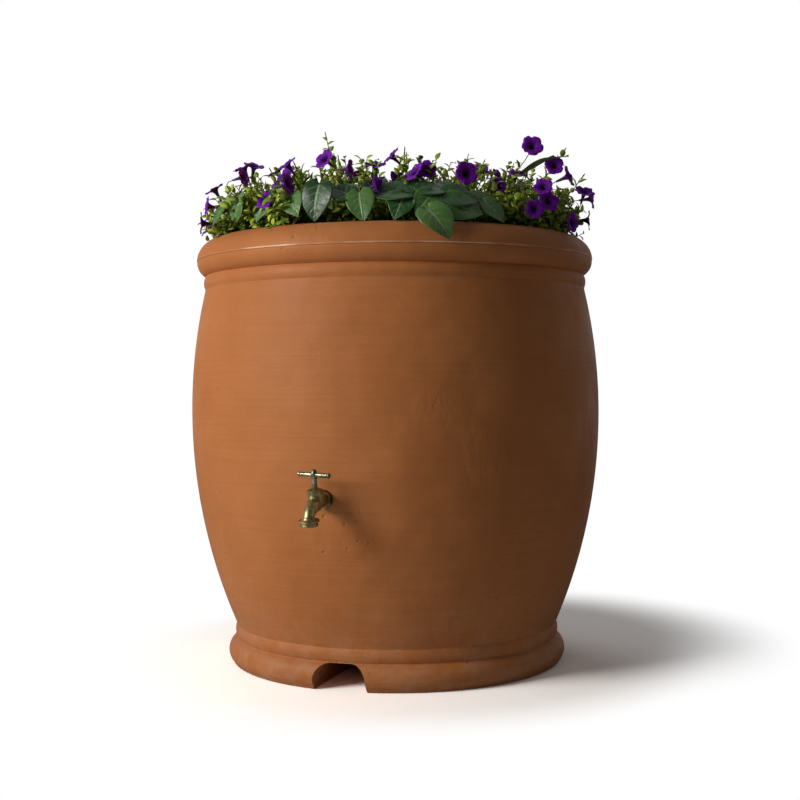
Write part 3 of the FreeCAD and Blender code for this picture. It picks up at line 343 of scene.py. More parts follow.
def new_rule(name, **inputs):
    """A Geometry Nodes tree with a named input for each size, and what it is given."""
    tree = bpy.data.node_groups.new(name, "GeometryNodeTree")
    for label, kind in {"Geometry": "Geometry", **inputs, "Finish": "Material"}.items():
        tree.interface.new_socket(label.replace("_", " "), in_out="INPUT",
                                  socket_type="NodeSocket" + kind)
    tree.interface.new_socket("Geometry", in_out="OUTPUT", socket_type="NodeSocketGeometry")
    tree.nodes.new("NodeGroupOutput")
    return tree, tree.nodes.new("NodeGroupInput").outputs


def end_rule(tree, made):
    """Ends a rule in plain geometry in its finish."""
    solid = add(tree, "GeometryNodeRealizeInstances", {"Geometry": made})
    coated = add(tree, "GeometryNodeSetMaterial",
                 {"Geometry": solid, "Material": tree.nodes["Group Input"].outputs["Finish"]})
    tree.links.new(coated.outputs[0], tree.nodes["Group Output"].inputs["Geometry"])
    return tree


def made_by(rule, name, **sizes):
    """The piece that a rule makes with those sizes, as a plain mesh."""
    piece = keep_in_scene(bpy.data.objects.new(name, bpy.data.meshes.new(name)))
    step = piece.modifiers.new("rule", "NODES")
    step.node_group = rule
    for item in rule.interface.items_tree:
        label = item.name.replace(" ", "_")
        if item.in_out == "INPUT" and label in sizes:
            step[item.identifier] = sizes[label]
    bpy.context.view_layer.update()
    graph = bpy.context.evaluated_depsgraph_get()
    mesh = bpy.data.meshes.new_from_object(piece.evaluated_get(graph))
    piece.modifiers.remove(step)
    piece.data = mesh
    mesh.name = name
    return piece


def smooth(piece):
    """Round, not faceted, from face to face."""
    piece.data.polygons.foreach_set("use_smooth", [True] * len(piece.data.polygons))
    return piece


def rod(tree, line, sides, radius, **more):
    """A line made into a rod with so many sides, closed at both ends."""
    profile = add(tree, "GeometryNodeCurvePrimitiveCircle",
                  {"Resolution": sides, "Radius": radius})
    return add(tree, "GeometryNodeCurveToMesh",
               {"Curve": line, "Profile Curve": profile, "Fill Caps": True, **more})


THREAD_RIDGE = 0.00062
tree, given = new_rule("thread_ridge", Radius="Float", Length="Float", Turns="Float",
                       Ridge="Float")
helix = add(tree, "GeometryNodeCurveSpiral",
            {"Resolution": 40, "Rotations": given["Turns"], "Start Radius": given["Radius"],
             "End Radius": given["Radius"], "Height": given["Length"]})
thread_rule = end_rule(tree, rod(tree, helix, 6, given["Ridge"]))


def hose_thread(name, mount_name, pitch, finish, body):
    """A ridge wound round the plain pin of a hose mount, one turn to each pitch."""
    mount = next(m for m in frame["record"]["mounts"] if m["name"] == mount_name)
    radius, length = (mount["dims"][key] / 1000 for key in ("r_mm", "length_mm"))
    wound = length - pitch
    piece = made_by(thread_rule, name, Radius=radius, Length=wound,
                    Turns=wound / pitch, Ridge=THREAD_RIDGE, Finish=finish)
    axis = Vector(mount["axis"])
    start = Vector(mount["pos_m"]) - axis * wound / 2
    aimed = axis.to_track_quat("Z", "Y").to_matrix().to_4x4()
    piece.data.transform(Matrix.Translation(start) @ aimed)
    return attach(smooth(piece), body)


hose_thread("hose_thread_ridge", "hose_outlet", 0.0022, brass, "barrel")

# The seals, moulded in black rubber: the bibb's gasket, the washers under the drain and
# overflow fittings, the stem's packing, the valve's seat washer and the cap's washer.
rubber, tree, shader, place = new_finish("black_rubber", Specular_IOR_Level=0.35)
bloom = grain(tree, place, 140.0, 4.0)
colour = ramp(tree, bloom, (0.35, 22, 21, 20), (0.70, 48, 45, 41))
roughness = limits(tree, bloom, 0.3, 0.7, 0.62, 0.78)
relief = raised(tree, grain(tree, place, 900.0, 2.0), 0.00006)
wire_up(shader, colour, roughness, relief)
dress(rubber, "overflow_gasket", "drain_gasket", "spigot_gasket", "stem_packing",
      "seat_washer", "drain_cap_washer")

# The black fittings, moulded in nylon with a lightly sparked skin: the overflow and
# drain bulkheads with their nuts, the drain's cap, the inlet basket and the small
# strainers in the planter's floor.
nylon, tree, shader, place = new_finish("black_nylon", Specular_IOR_Level=0.45)
skin = grain(tree, place, 1100.0, 2.0)
grime = grain(tree, place, 60.0, 5.0, 0.65)
colour = ramp(tree, grime, (0.35, 26, 27, 28), (0.60, 40, 40, 40), (0.80, 78, 72, 64))
roughness = limits(tree, grime, 0.3, 0.75, 0.38, 0.66)
relief = raised(tree, skin, 0.00005)
wire_up(shader, colour, roughness, relief)
dress(nylon, "overflow_fitting", "overflow_locknut", "drain_fitting", "drain_locknut",
      "drain_cap", "strainer_basket", "planter_drain_strainers")
hose_thread("overflow_thread_ridge", "overflow_nozzle", 0.0026, nylon, "barrel")

# The basket's mesh: a disc of woven stainless wire that keeps leaves and insects out of
# the water. Each wire passes over and under the ones that cross it.
steel, tree, shader, place = new_finish("stainless_wire", Metallic=1.0)
drawn = grain(tree, place, 260.0, 3.0)
colour = ramp(tree, drawn, (0.35, 142, 142, 140), (0.70, 188, 187, 182))
roughness = limits(tree, drawn, 0.3, 0.7, 0.26, 0.42)
wire_up(shader, colour, roughness, raised(tree, drawn, 0.00003))

MESH_PITCH = 0.003
WIRE_RADIUS = 0.00028
mesh_low, mesh_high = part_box("strainer_mesh")
mesh_middle = (mesh_low + mesh_high) / 2
mesh_radius = (mesh_high.x - mesh_low.x) / 2 - WIRE_RADIUS
wire_count = int(mesh_radius / MESH_PITCH) * 2 + 1


def marked_off(tree, line, step):
    """A line with a point at every step along it."""
    return add(tree, "GeometryNodeResampleCurve", {"Curve": line, "Length": step}, mode="LENGTH")


def vector(tree, **parts):
    """A vector put together from its parts."""
    return add(tree, "ShaderNodeCombineXYZ", parts)


tree, given = new_rule("woven_wires", Wires="Int", Pitch="Float", Radius="Float",
                       Wire="Float", Over_First="Float")
gaps = maths(tree, "SUBTRACT", given["Wires"], 1)
first = maths(tree, "MULTIPLY", maths(tree, "MULTIPLY", gaps, given["Pitch"]), -0.5)
row = add(tree, "GeometryNodeMeshLine",
          {"Count": given["Wires"], "Start Location": vector(tree, X=first),
           "Offset": vector(tree, X=given["Pitch"])})
spot = add(tree, "ShaderNodeSeparateXYZ", {0: add(tree, "GeometryNodeInputPosition")}).outputs
share = maths(tree, "DIVIDE", spot["X"], given["Radius"])
left_over = maths(tree, "SUBTRACT", 1.0, maths(tree, "MULTIPLY", share, share))
chord = maths(tree, "MULTIPLY", maths(tree, "SQRT", left_over), given["Radius"])
strand = add(tree, "GeometryNodeCurvePrimitiveLine", {"Start": (0, -1, 0), "End": (0, 1, 0)})
laid = add(tree, "GeometryNodeInstanceOnPoints",
           {"Points": row, "Instance": strand, "Scale": vector(tree, X=1, Y=chord, Z=1)})
loose = add(tree, "GeometryNodeRealizeInstances", {"Geometry": laid})
half_pitch = maths(tree, "MULTIPLY", given["Pitch"], 0.5)
steps = maths(tree, "DIVIDE", maths(tree, "ADD", spot["X"], spot["Y"]), given["Pitch"])
phase = maths(tree, "ADD", steps, given["Over First"])
wave = maths(tree, "COSINE", maths(tree, "MULTIPLY", phase, math.pi))
lift = maths(tree, "MULTIPLY", wave, given["Wire"])
woven = add(tree, "GeometryNodeSetPosition",
            {"Geometry": marked_off(tree, loose, half_pitch), "Offset": vector(tree, Z=lift)})
weave_rule = end_rule(tree, rod(tree, woven, 5, given["Wire"]))

for direction, turn, over in (("warp", 0, 0.0), ("weft", 90, 1.0)):
    wires = made_by(weave_rule, "strainer_" + direction, Wires=wire_count, Pitch=MESH_PITCH,
                    Radius=mesh_radius, Wire=WIRE_RADIUS, Over_First=over, Finish=steel)
    wires.data.transform(Matrix.Translation(mesh_middle)
                         @ Matrix.Rotation(math.radians(turn), 4, "Z"))
    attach(smooth(wires), "strainer")
    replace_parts(wires, "strainer_mesh")

# The potting soil: dark peat and composted bark, pressed down round the inlet, with
# bark chips and white grains of perlite on its crumbly top.
peat, tree, shader, place = new_finish("peat_soil", Specular_IOR_Level=0.15)
crumbs = grain(tree, place, 170.0, 6.0, 0.7)
colour = ramp(tree, crumbs, (0.34, 30, 20, 13), (0.55, 62, 44, 30), (0.75, 96, 72, 50))
roughness = limits(tree, crumbs, 0.3, 0.7, 0.80, 0.95)
relief = raised(tree, crumbs, 0.004)
wire_up(shader, colour, roughness, relief)

bark, tree, shader, place = new_finish("bark_chips", Specular_IOR_Level=0.2)
fibres = grain(tree, stretched(tree, place, (300, 300, 60)), 1.0, 4.0)
colour = ramp(tree, fibres, (0.30, 52, 33, 22), (0.60, 102, 70, 47), (0.80, 140, 106, 76))
roughness = limits(tree, fibres, 0.3, 0.7, 0.7, 0.9)
wire_up(shader, colour, roughness, raised(tree, fibres, 0.0006))

perlite, tree, shader, place = new_finish("perlite_grains", Specular_IOR_Level=0.2)
pores = grain(tree, place, 700.0, 3.0)
colour = ramp(tree, pores, (0.35, 176, 170, 158), (0.65, 226, 222, 212))
roughness = limits(tree, pores, 0.3, 0.7, 0.75, 0.9)
wire_up(shader, colour, roughness, raised(tree, pores, 0.0004))

SOIL_CELL = 0.006
SOIL_THICK = 0.03
SOIL_EDGE = 0.01
CHIMNEY_RADIUS = 0.0778
INLET_GAP = 0.005
soil_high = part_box("potting_soil")[1]
soil_radius = soil_high.x
basket_low, basket_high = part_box("strainer_basket")
inlet = (basket_low + basket_high) / 2
inlet_clear = (basket_high.x - basket_low.x) / 2 + INLET_GAP


def from_inlet(point):
    """The level line from the inlet's axis to a point."""
    return Vector((point.x - inlet.x, point.y - inlet.y, 0))


def settle(worked):
    """Numbers a mesh's corners and faces by where they are, the same on each run."""
    for parts, place in ((worked.verts, lambda corner: corner.co[:]),
                         (worked.faces, lambda face: face.calc_center_median()[:])):
        number = {part: k for k, part in enumerate(sorted(parts, key=place))}
        parts.sort(key=number.get)


ground = bmesh.new()
cells = int(2 * soil_radius / SOIL_CELL) + 2
bmesh.ops.create_grid(ground, x_segments=cells, y_segments=cells, size=cells * SOIL_CELL / 2)
outside = [f for f in ground.faces
           if Vector(f.calc_center_median()[:2]).length > soil_radius
           or from_inlet(f.calc_center_median()).length < CHIMNEY_RADIUS]
bmesh.ops.delete(ground, geom=outside, context="FACES")
for corner in ground.verts:
    flat = Vector((corner.co.x, corner.co.y, 0))
    edge = any(e.is_boundary for e in corner.link_edges)
    if flat.length > soil_radius or (edge and flat.length > soil_radius - SOIL_CELL):
        flat *= soil_radius / flat.length
    line = from_inlet(flat)
    at_inlet = edge and flat.length < soil_radius - SOIL_EDGE
    if line.length < CHIMNEY_RADIUS + (SOIL_CELL if at_inlet else 0):
        flat += line.normalized() * (CHIMNEY_RADIUS - line.length)
    lumps = noise.fractal(flat * 55, 1.0, 2.0, 4) * 0.0035 + noise.noise(flat * 14) * 0.003
    corner.co = flat + Vector((0, 0, soil_high.z + lumps - 0.001))
walls = bmesh.ops.extrude_face_region(ground, geom=ground.faces[:])["geom"]
for corner in (g for g in walls if isinstance(g, bmesh.types.BMVert)):
    corner.co.z = soil_high.z - SOIL_THICK
bmesh.ops.recalc_face_normals(ground, faces=ground.faces)
settle(ground)
soil = as_object("soil_surface", ground)
soil.data.materials.append(peat)
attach(smooth(soil), "planter")
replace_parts(soil, "potting_soil")


def crumb(name, length, width, seed):
    """One rough lump, flattened and broken, to be strewn over the soil."""
    lump = bmesh.new()
    bmesh.ops.create_icosphere(lump, subdivisions=1, radius=1)
    for corner in lump.verts:
        corner.co *= 1 + 0.4 * noise.noise(corner.co * 2 + Vector((seed, 0, 0)))
        corner.co = Vector((corner.co.x * length, corner.co.y * width, corner.co.z * width * 0.5))
    return as_object(name, lump)


def chance(tree, low, high, seed, **choices):
    """A number drawn afresh for each point, the same on each run."""
    return add(tree, "FunctionNodeRandomValue", {"Min": low, "Max": high, "Seed": seed}, **choices)


def shape_of(tree, thing):
    """The geometry of an object that a rule is given."""
    return add(tree, "GeometryNodeObjectInfo", {"Object": thing}).outputs["Geometry"]


ANY_WAY = 6.28
tree, given = new_rule("strewn_lumps", Surface="Object", Lump="Object", Density="Float",
                       Seed="Int")
upward = add(tree, "ShaderNodeSeparateXYZ", {0: add(tree, "GeometryNodeInputNormal")})
facing_up = add(tree, "FunctionNodeCompare", {"A": upward.outputs["Z"], "B": 0.5})
dropped = add(tree, "GeometryNodeDistributePointsOnFaces",
              {"Mesh": shape_of(tree, given["Surface"]), "Selection": facing_up,
               "Density": given["Density"], "Seed": given["Seed"]})
spin = chance(tree, (-0.5, -0.5, 0), (0.5, 0.5, ANY_WAY), given["Seed"],
              data_type="FLOAT_VECTOR")
lying = add(tree, "GeometryNodeInstanceOnPoints",
            {"Points": dropped.outputs["Points"], "Instance": shape_of(tree, given["Lump"]),
             "Rotation": add(tree, "FunctionNodeEulerToRotation", {"Euler": spin}),
             "Scale": chance(tree, 0.45, 1.2, 5)})
strewn_rule = end_rule(tree, lying)

for name, length, width, density, finish, seed in (
        ("bark_chips", 0.0075, 0.0042, 3600, bark, 3),
        ("bark_crumbs", 0.0035, 0.0026, 6500, bark, 11),
        ("perlite_grains", 0.0021, 0.0019, 3200, perlite, 19)):
    lump = crumb(name + "_shape", length, width, seed)
    strewn = made_by(strewn_rule, name, Surface=soil, Lump=lump, Density=float(density),
                     Seed=seed, Finish=finish)
    bpy.data.objects.remove(lump)
    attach(strewn, "planter")

# The petunias. Each plant has many thin hairy stems that rise and lean out over the
# rim, with small oval leaves up them, and ends in a bud or in a five-lobed violet
# trumpet held in a green calyx. Low shoots with broader leaves fill the rim.
CREST_RADIUS = 0.310
ROLL = 0.0195
SHOULDER_DROP = 0.0377
LEAF_GAP = 0.0012
PROUD_SHARE, PROUD_BY = 0.025, 0.008
rim_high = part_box("planter_top")[1]
rim_radius = rim_high.x
cad_low, cad_high = (Vector(corner) for corner in cad_box)
proud = [(high - low) * PROUD_SHARE + PROUD_BY for low, high in zip(cad_low, cad_high)]


def rim_height(radius):
    """How high the planter's rim stands at a distance from the barrel's axis."""
    if radius < CREST_RADIUS:
        inward = min(CREST_RADIUS - radius, ROLL)
        return rim_high.z - ROLL + math.sqrt(ROLL ** 2 - inward ** 2)
    outward = min((radius - CREST_RADIUS) / (rim_radius - CREST_RADIUS), 1.0)
    return rim_high.z - SHOULDER_DROP * (1 - math.sqrt(1 - outward ** 2))


def keep_clear(piece):
    """Lifts what would sink into the rim on to it, and leaves the inlet's way clear."""
    for corner in piece.data.vertices:
        spot = corner.co.copy()
        line = from_inlet(spot)
        if line.length < inlet_clear:
            spot += line.normalized() * (inlet_clear - line.length)
        flat = math.hypot(spot.x, spot.y)
        over_rim = CREST_RADIUS - ROLL - LEAF_GAP < flat < rim_radius + LEAF_GAP
        if over_rim and spot.z < rim_height(flat) + LEAF_GAP:
            if spot.z < rim_high.z - ROLL and flat < CREST_RADIUS:
                shrink = (CREST_RADIUS - ROLL - LEAF_GAP) / flat
                spot.x *= shrink
                spot.y *= shrink
            else:
                spot.z = rim_height(flat) + LEAF_GAP
        for axis in range(3):
            spot[axis] = min(max(spot[axis], cad_low[axis] - proud[axis]),
                             cad_high[axis] + proud[axis])
        corner.co = spot
    return piece


def tone_of(tree, name):
    """A number that each leaf or bloom carries."""
    return add(tree, "ShaderNodeAttribute", attribute_name=name).outputs["Fac"]


def green_finish(name, dark, middle, light, gloss):
    """A leaf's skin: each leaf its own green, blotched, with a fine pebbled surface."""
    material, tree, shader, place = new_finish(name, Specular_IOR_Level=0.4,
                                               Subsurface_Weight=0.12, Subsurface_Scale=0.004)
    blotch = grain(tree, place, 90.0, 4.0)
    own = between(tree, 0.3, tone_of(tree, "tone"), blotch)
    colour = ramp(tree, own, (0.10, *dark), (0.45, *middle), (0.85, *light))
    roughness = limits(tree, blotch, 0.3, 0.7, gloss, gloss + 0.18)
    relief = raised(tree, grain(tree, place, 420.0, 3.0), 0.0004)
    wire_up(shader, colour, roughness, relief)
    return material


petunia_green = green_finish("petunia_leaf", (92, 124, 16), (150, 176, 38), (202, 216, 92), 0.5)
low_green = green_finish("petunia_low_leaf", (50, 82, 16), (96, 130, 28), (152, 180, 54), 0.44)
stem_green = green_finish("petunia_stem", (86, 106, 28), (126, 146, 44), (158, 164, 68), 0.5)


def routes(name, stems):
    """Stems as curves, each through the four points that steer it."""
    curve = bpy.data.curves.new(name, "CURVE")
    curve.dimensions = "3D"
    for points in stems:
        spline = curve.splines.new("NURBS")
        spline.points.add(len(points) - 1)
        for knot, point in zip(spline.points, points):
            knot.co = (*point, 1)
        spline.order_u = 4
        spline.use_endpoint_u = True
    return keep_in_scene(bpy.data.objects.new(name, curve))


STEM_STEP = 0.008
tree, given = new_rule("round_stems", Stems="Object", Thick="Float", Thin="Float")
cut = marked_off(tree, shape_of(tree, given["Stems"]), STEM_STEP)
along = add(tree, "GeometryNodeSplineParameter").outputs["Factor"]
thinning = limits(tree, along, 0.0, 1.0, given["Thick"], given["Thin"])
stalk_rule = end_rule(tree, rod(tree, cut, 5, 1.0, Scale=thinning))


def turned_about(tree, axis, angle):
    """A turn about an axis."""
    return add(tree, "FunctionNodeAxisAngleToRotation", {"Axis": axis, "Angle": angle})


def then_turned(tree, first, second):
    """A turn followed by one about the axes that the first has turned."""
    return add(tree, "FunctionNodeRotateRotation", {"Rotation": first, "Rotate By": second},
               rotation_space="LOCAL")


def end_growth(tree, points, chosen, pattern, turned, size):
    """Ends a rule with a leaf or bloom on each chosen point, turned from the stem's line."""
    upright = add(tree, "FunctionNodeAlignRotationToVector",
                  {"Vector": add(tree, "GeometryNodeInputTangent")}, axis="Z")
    grown = add(tree, "GeometryNodeInstanceOnPoints",
                {"Points": points, "Selection": chosen, "Instance": shape_of(tree, pattern),
                 "Rotation": then_turned(tree, upright, turned), "Scale": size})
    toned = add(tree, "GeometryNodeStoreNamedAttribute",
                {"Geometry": grown, "Name": "tone", "Value": chance(tree, 0.0, 1.0, 9)},
                domain="INSTANCE")
    return end_rule(tree, toned)


LEAF_SPIRAL = 2.4
tree, given = new_rule("leaves_up_stems", Stems="Object", Leaf="Object", Spacing="Float",
                       First="Float", Last="Float", Largest="Float", Smallest="Float",
                       Seed="Int")
cut = marked_off(tree, shape_of(tree, given["Stems"]), given["Spacing"])
along = add(tree, "GeometryNodeSplineParameter").outputs["Factor"]
above = add(tree, "FunctionNodeCompare", {"A": along, "B": given["First"]})
below = add(tree, "FunctionNodeCompare", {"A": along, "B": given["Last"]}, operation="LESS_THAN")
bearing = add(tree, "FunctionNodeBooleanMath", {0: above, 1: below}, operation="AND")
spiral = maths(tree, "MULTIPLY", add(tree, "GeometryNodeInputIndex"), LEAF_SPIRAL)
spiral = maths(tree, "ADD", spiral, chance(tree, -0.5, 0.5, given["Seed"]))
tilt = turned_about(tree, (0, 1, 0), chance(tree, -0.35, 0.45, 7))
turned = then_turned(tree, turned_about(tree, (0, 0, 1), spiral), tilt)
dwindling = limits(tree, along, given["First"], 1.0, given["Largest"], given["Smallest"])
sized = maths(tree, "MULTIPLY", dwindling, chance(tree, 0.7, 1.2, 2))
leaf_rule = end_growth(tree, cut, bearing, given["Leaf"], turned, sized)

TIP_STEP = 0.006
tree, given = new_rule("blooms_on_tips", Stems="Object", Bloom="Object", Smallest="Float",
                       Largest="Float", Seed="Int")
cut = marked_off(tree, shape_of(tree, given["Stems"]), TIP_STEP)
tip = add(tree, "GeometryNodeCurveEndpointSelection", {"Start Size": 0, "End Size": 1})
turned = turned_about(tree, (0, 0, 1), chance(tree, 0.0, ANY_WAY, given["Seed"]))
sized = chance(tree, given["Smallest"], given["Largest"], 4)
tip_rule = end_growth(tree, cut, tip, given["Bloom"], turned, sized)


def join_rings(mesh, rings):
    """Faces from each ring of corners to the next. A ring may be a single corner."""
    for near, far in zip(rings, rings[1:]):
        for k in range(max(len(near), len(far))):
            corners = (near[k % len(near)], near[(k + 1) % len(near)],
                       far[(k + 1) % len(far)], far[k % len(far)])
            mesh.faces.new(list(dict.fromkeys(corners)))


def blade(mesh, length, width, thick, start_tilt, droop, turn=0.0, stations=5):
    """Adds one closed leaf blade that leaves the Z axis at a tilt and droops outward."""
    rings, spot, tilt = [], Vector((0, 0, 0)), start_tilt
    for i in range(stations + 2):
        share = i / (stations + 1)
        half = 0.5 * width * math.sin(math.pi * share ** 0.75) ** 0.8
        fold = 0.28 * half
        face = Vector((-math.cos(tilt), 0, math.sin(tilt)))
        if i in (0, stations + 1):
            rings.append([mesh.verts.new(spot)])
        else:
            rings.append([mesh.verts.new(spot + Vector((0, half, 0)) + face * fold),
                          mesh.verts.new(spot + face * thick),
                          mesh.verts.new(spot + Vector((0, -half, 0)) + face * fold),
                          mesh.verts.new(spot - face * thick)])
        spot = spot + Vector((math.sin(tilt), 0, math.cos(tilt))) * length / (stations + 1)
        tilt += droop / (stations + 1)
    join_rings(mesh, rings)
    bmesh.ops.rotate(mesh, verts=[v for ring in rings for v in ring], cent=(0, 0, 0),
                     matrix=Matrix.Rotation(turn, 3, "Z"))


def shape(name, mesh):
    """A finished pattern piece, ready to be repeated."""
    bmesh.ops.recalc_face_normals(mesh, faces=mesh.faces)
    settle(mesh)
    return smooth(as_object(name, mesh))


one_leaf = bmesh.new()
blade(one_leaf, 1.0, 0.54, 0.02, 0.75, 0.75, stations=4)
leaf_shape = shape("petunia_leaf_shape", one_leaf)

# degrees round, distance out, height, and which way each front bloom faces and climbs
FRONT_BLOOMS = (
    (-50, 0.330, 0.825, -70, 62), (-47, 0.352, 0.788, -58, 5), (-49, 0.356, 0.758, -66, -4),
    (-35, 0.310, 0.850, -60, 70), (-37, 0.280, 0.857, 60, 62), (-30, 0.318, 0.826, 95, 8),
    (-21, 0.328, 0.785, -2, 15), (-20, 0.285, 0.850, -50, 52), (-25, 0.262, 0.838, -30, 40),
    (-15, 0.300, 0.806, 98, 6), (-6, 0.280, 0.850, -25, 24), (6, 0.292, 0.824, 100, -5),
    (12, 0.270, 0.842, 20, 70),
    (11, 0.290, 0.800, -40, 25), (15, 0.300, 0.798, 100, 10), (16, 0.240, 0.858, -60, 38),
    (21, 0.262, 0.818, 60, 30), (24, 0.280, 0.824, -50, 32), (29, 0.284, 0.830, 26, 20),
    (41, 0.300, 0.820, 42, 4), (62, 0.290, 0.838, 40, 66), (56, 0.280, 0.812, 50, 35),
    (65, 0.310, 0.876, 24, 18), (71, 0.330, 0.846, 22, 8), (84, 0.328, 0.838, 85, 18),
    (64, 0.330, 0.808, -5, 24), (59, 0.336, 0.766, 16, 2), (66, 0.338, 0.784, 30, 16),
    (83, 0.352, 0.814, 30, 58), (96, 0.356, 0.806, 108, 3), (97, 0.350, 0.768, 104, -6),
    (79, 0.345, 0.752, 70, -8),
)
SPRIGS = ((-5, 0.27, 0.878), (1, 0.29, 0.838), (22, 0.26, 0.850), (27, 0.28, 0.832),
          (44, 0.27, 0.846), (47, 0.29, 0.832), (-30, 0.30, 0.815), (92, 0.33, 0.832),
          (-24, 0.29, 0.826), (75, 0.33, 0.862))

TRUMPET_LENGTH = 0.030
MEAN_BLOOM = 0.92
MOUND_RADIUS = 0.34
ROOT_DEPTH = 0.004
NEAREST_ROOT, FARTHEST_ROOT = 0.06, 0.262
STEM_GAP = 0.012
BACK_BLOOMS, LEAFY, FRINGE, LOW = 34, 350, 280, 150
VINE_FROM, VINE_TO, VINE_OUT = -14, 50, 0.286
ALL_ROUND = (-180, 180)
rng = random.Random(41)


def degrees_round(point):
    """How far round from the front a point is."""
    return math.degrees(math.atan2(point.x, -point.y))


def in_the_way(point):
    """True over the inlet, where nothing grows, and in front, where the vine's leaves are."""
    over_vine = (VINE_FROM < degrees_round(point) < VINE_TO
                 and math.hypot(point.x, point.y) > VINE_OUT)
    return over_vine or from_inlet(point).length < inlet_clear + STEM_GAP


def climbing(degrees, out, height, final=None, root_in=0.09):
    """A stem's four steering points, from the soil up to its tip."""
    root_turn = degrees + rng.uniform(-7, 7)
    root_out = min(out - root_in * rng.uniform(0.7, 1.3), FARTHEST_ROOT)
    root = round_from_front(root_turn, max(NEAREST_ROOT, root_out), soil_high.z - ROOT_DEPTH)
    tip = round_from_front(degrees, out, height)
    rise = height - root.z
    final = final or Vector((tip.x - root.x, tip.y - root.y, rise)).normalized()
    lower = Vector((rng.uniform(-0.01, 0.01), rng.uniform(-0.01, 0.01), rise * 0.55))
    return root, root + lower, tip - final * rise * 0.38, tip


def facing(degrees, climb):
    """The way that a bloom faces, so far round and so far up."""
    up = math.radians(climb)
    return round_from_front(degrees, math.cos(up), math.sin(up))


def over_ground(nearest, farthest):
    """A distance from the axis, drawn evenly over the ground between two."""
    return math.sqrt(rng.uniform(nearest ** 2, farthest ** 2))


def free_tip(span, distance, level):
    """Where a stem ends, drawn again for as long as it is in the way."""
    while True:
        degrees = rng.uniform(*span)
        out = distance()
        height = level(out)
        if not in_the_way(round_from_front(degrees, out, height)):
            return degrees, out, height


blooming = []
for degrees, out, height, faces, climb in FRONT_BLOOMS:
    final = facing(faces, climb)
    tip = round_from_front(degrees, out, height) - final * TRUMPET_LENGTH * MEAN_BLOOM
    blooming.append(climbing(degrees_round(tip), math.hypot(tip.x, tip.y), tip.z, final))
for _ in range(BACK_BLOOMS):
    degrees, out, height = free_tip(
        (104, 304), lambda: over_ground(0.10, 0.325),
        lambda out: 0.875 - 0.09 * (out / MOUND_RADIUS) ** 3 - rng.uniform(0, 0.05))
    climb = rng.uniform(0, 70)
    blooming.append(climbing(degrees, out, height, facing(degrees + rng.uniform(-60, 60), climb)))
leafy = [climbing(*sprig) for sprig in SPRIGS]
for _ in range(LEAFY):
    leafy.append(climbing(*free_tip(
        ALL_ROUND, lambda: over_ground(0.07, 0.338),
        lambda out: 0.866 - 0.072 * (out / MOUND_RADIUS) ** 4 - rng.uniform(0, 1) ** 1.5 * 0.07)))
fringe = [climbing(*free_tip(ALL_ROUND, lambda: rng.uniform(0.250, 0.340),
                             lambda out: 0.858 - 0.62 * (out - 0.250) - rng.uniform(0, 0.05)),
                   root_in=0.06) for _ in range(FRINGE)]
low = [climbing(*free_tip(ALL_ROUND, lambda: rng.uniform(0.255, 0.335),
                          lambda out: 0.765 + rng.uniform(0, 0.035)),
                root_in=0.07) for _ in range(LOW)]
shoots = {name: routes(name + "_routes", stems) for name, stems in (
    ("blooming", blooming), ("leafy", leafy), ("fringe", fringe), ("low", low))}


def planted(piece):
    """A plant's piece, clear of the rim and the inlet, riding with the planter."""
    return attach(smooth(keep_clear(piece)), "planter")


for name, thick in (("blooming", 0.0013), ("leafy", 0.0012), ("fringe", 0.0012), ("low", 0.0016)):
    planted(made_by(stalk_rule, name + "_stems", Stems=shoots[name], Thick=thick,
                    Thin=thick * 0.6, Finish=stem_green))
for name, spacing, first, last, largest, smallest, finish, seed in (
        ("blooming", 0.0085, 0.22, 0.84, 0.024, 0.013, petunia_green, 5),
        ("leafy", 0.0070, 0.30, 1.1, 0.027, 0.015, petunia_green, 6),
        ("fringe", 0.0076, 0.30, 1.1, 0.025, 0.015, petunia_green, 13),
        ("low", 0.0105, 0.35, 1.1, 0.036, 0.020, low_green, 8)):
    planted(made_by(leaf_rule, name + "_leaves", Stems=shoots[name], Leaf=leaf_shape,
                    Spacing=spacing, First=first, Last=last, Largest=largest,
                    Smallest=smallest, Seed=seed, Finish=finish))

TRUMPET = ((0.0015, 0.0), (0.0021, 0.006), (0.0027, 0.013), (0.0038, 0.019),
           (0.0064, 0.0235), (0.0108, 0.0262), (0.0158, 0.0276), (0.0200, 0.0272))
AROUND = 40
THROAT, FLARE, MOUTH = 0.0038, 0.0162, 0.020
trumpet = bmesh.new()
rings = []
for radius, height in TRUMPET:
    opened = max(0.0, (radius - THROAT) / FLARE)
    ring = []
    for k in range(AROUND):
        turn = 2 * math.pi * k / AROUND
        lobe = abs(math.cos(2.5 * turn))
        wide = radius * (1 + opened * (0.17 * lobe ** 0.6 - 0.13 + 0.022 * math.sin(13 * turn)))
        wave = opened ** 2 * (0.0013 * math.cos(5 * turn) + 0.0008 * math.sin(11 * turn + 1))
        crease = -opened * 0.0007 * max(0.0, math.cos(5 * turn)) ** 6
        ring.append(trumpet.verts.new((wide * math.cos(turn), wide * math.sin(turn),
                                       height + wave + crease)))
    rings.append(ring)
join_rings(trumpet, rings)
bmesh.ops.recalc_face_normals(trumpet, faces=trumpet.faces)
bmesh.ops.solidify(trumpet, geom=trumpet.faces[:], thickness=0.00035)
trumpet_shape = shape("trumpet_shape", trumpet)
spread = trumpet_shape.data.attributes.new("spread", "FLOAT", "POINT")
crease = trumpet_shape.data.attributes.new("crease", "FLOAT", "POINT")
for k, corner in enumerate(trumpet_shape.data.vertices):
    turn = math.atan2(corner.co.y, corner.co.x)
    spread.data[k].value = min(1.0, math.hypot(corner.co.x, corner.co.y) / MOUTH)
    crease.data[k].value = max(0.0, math.cos(5 * turn)) ** 5

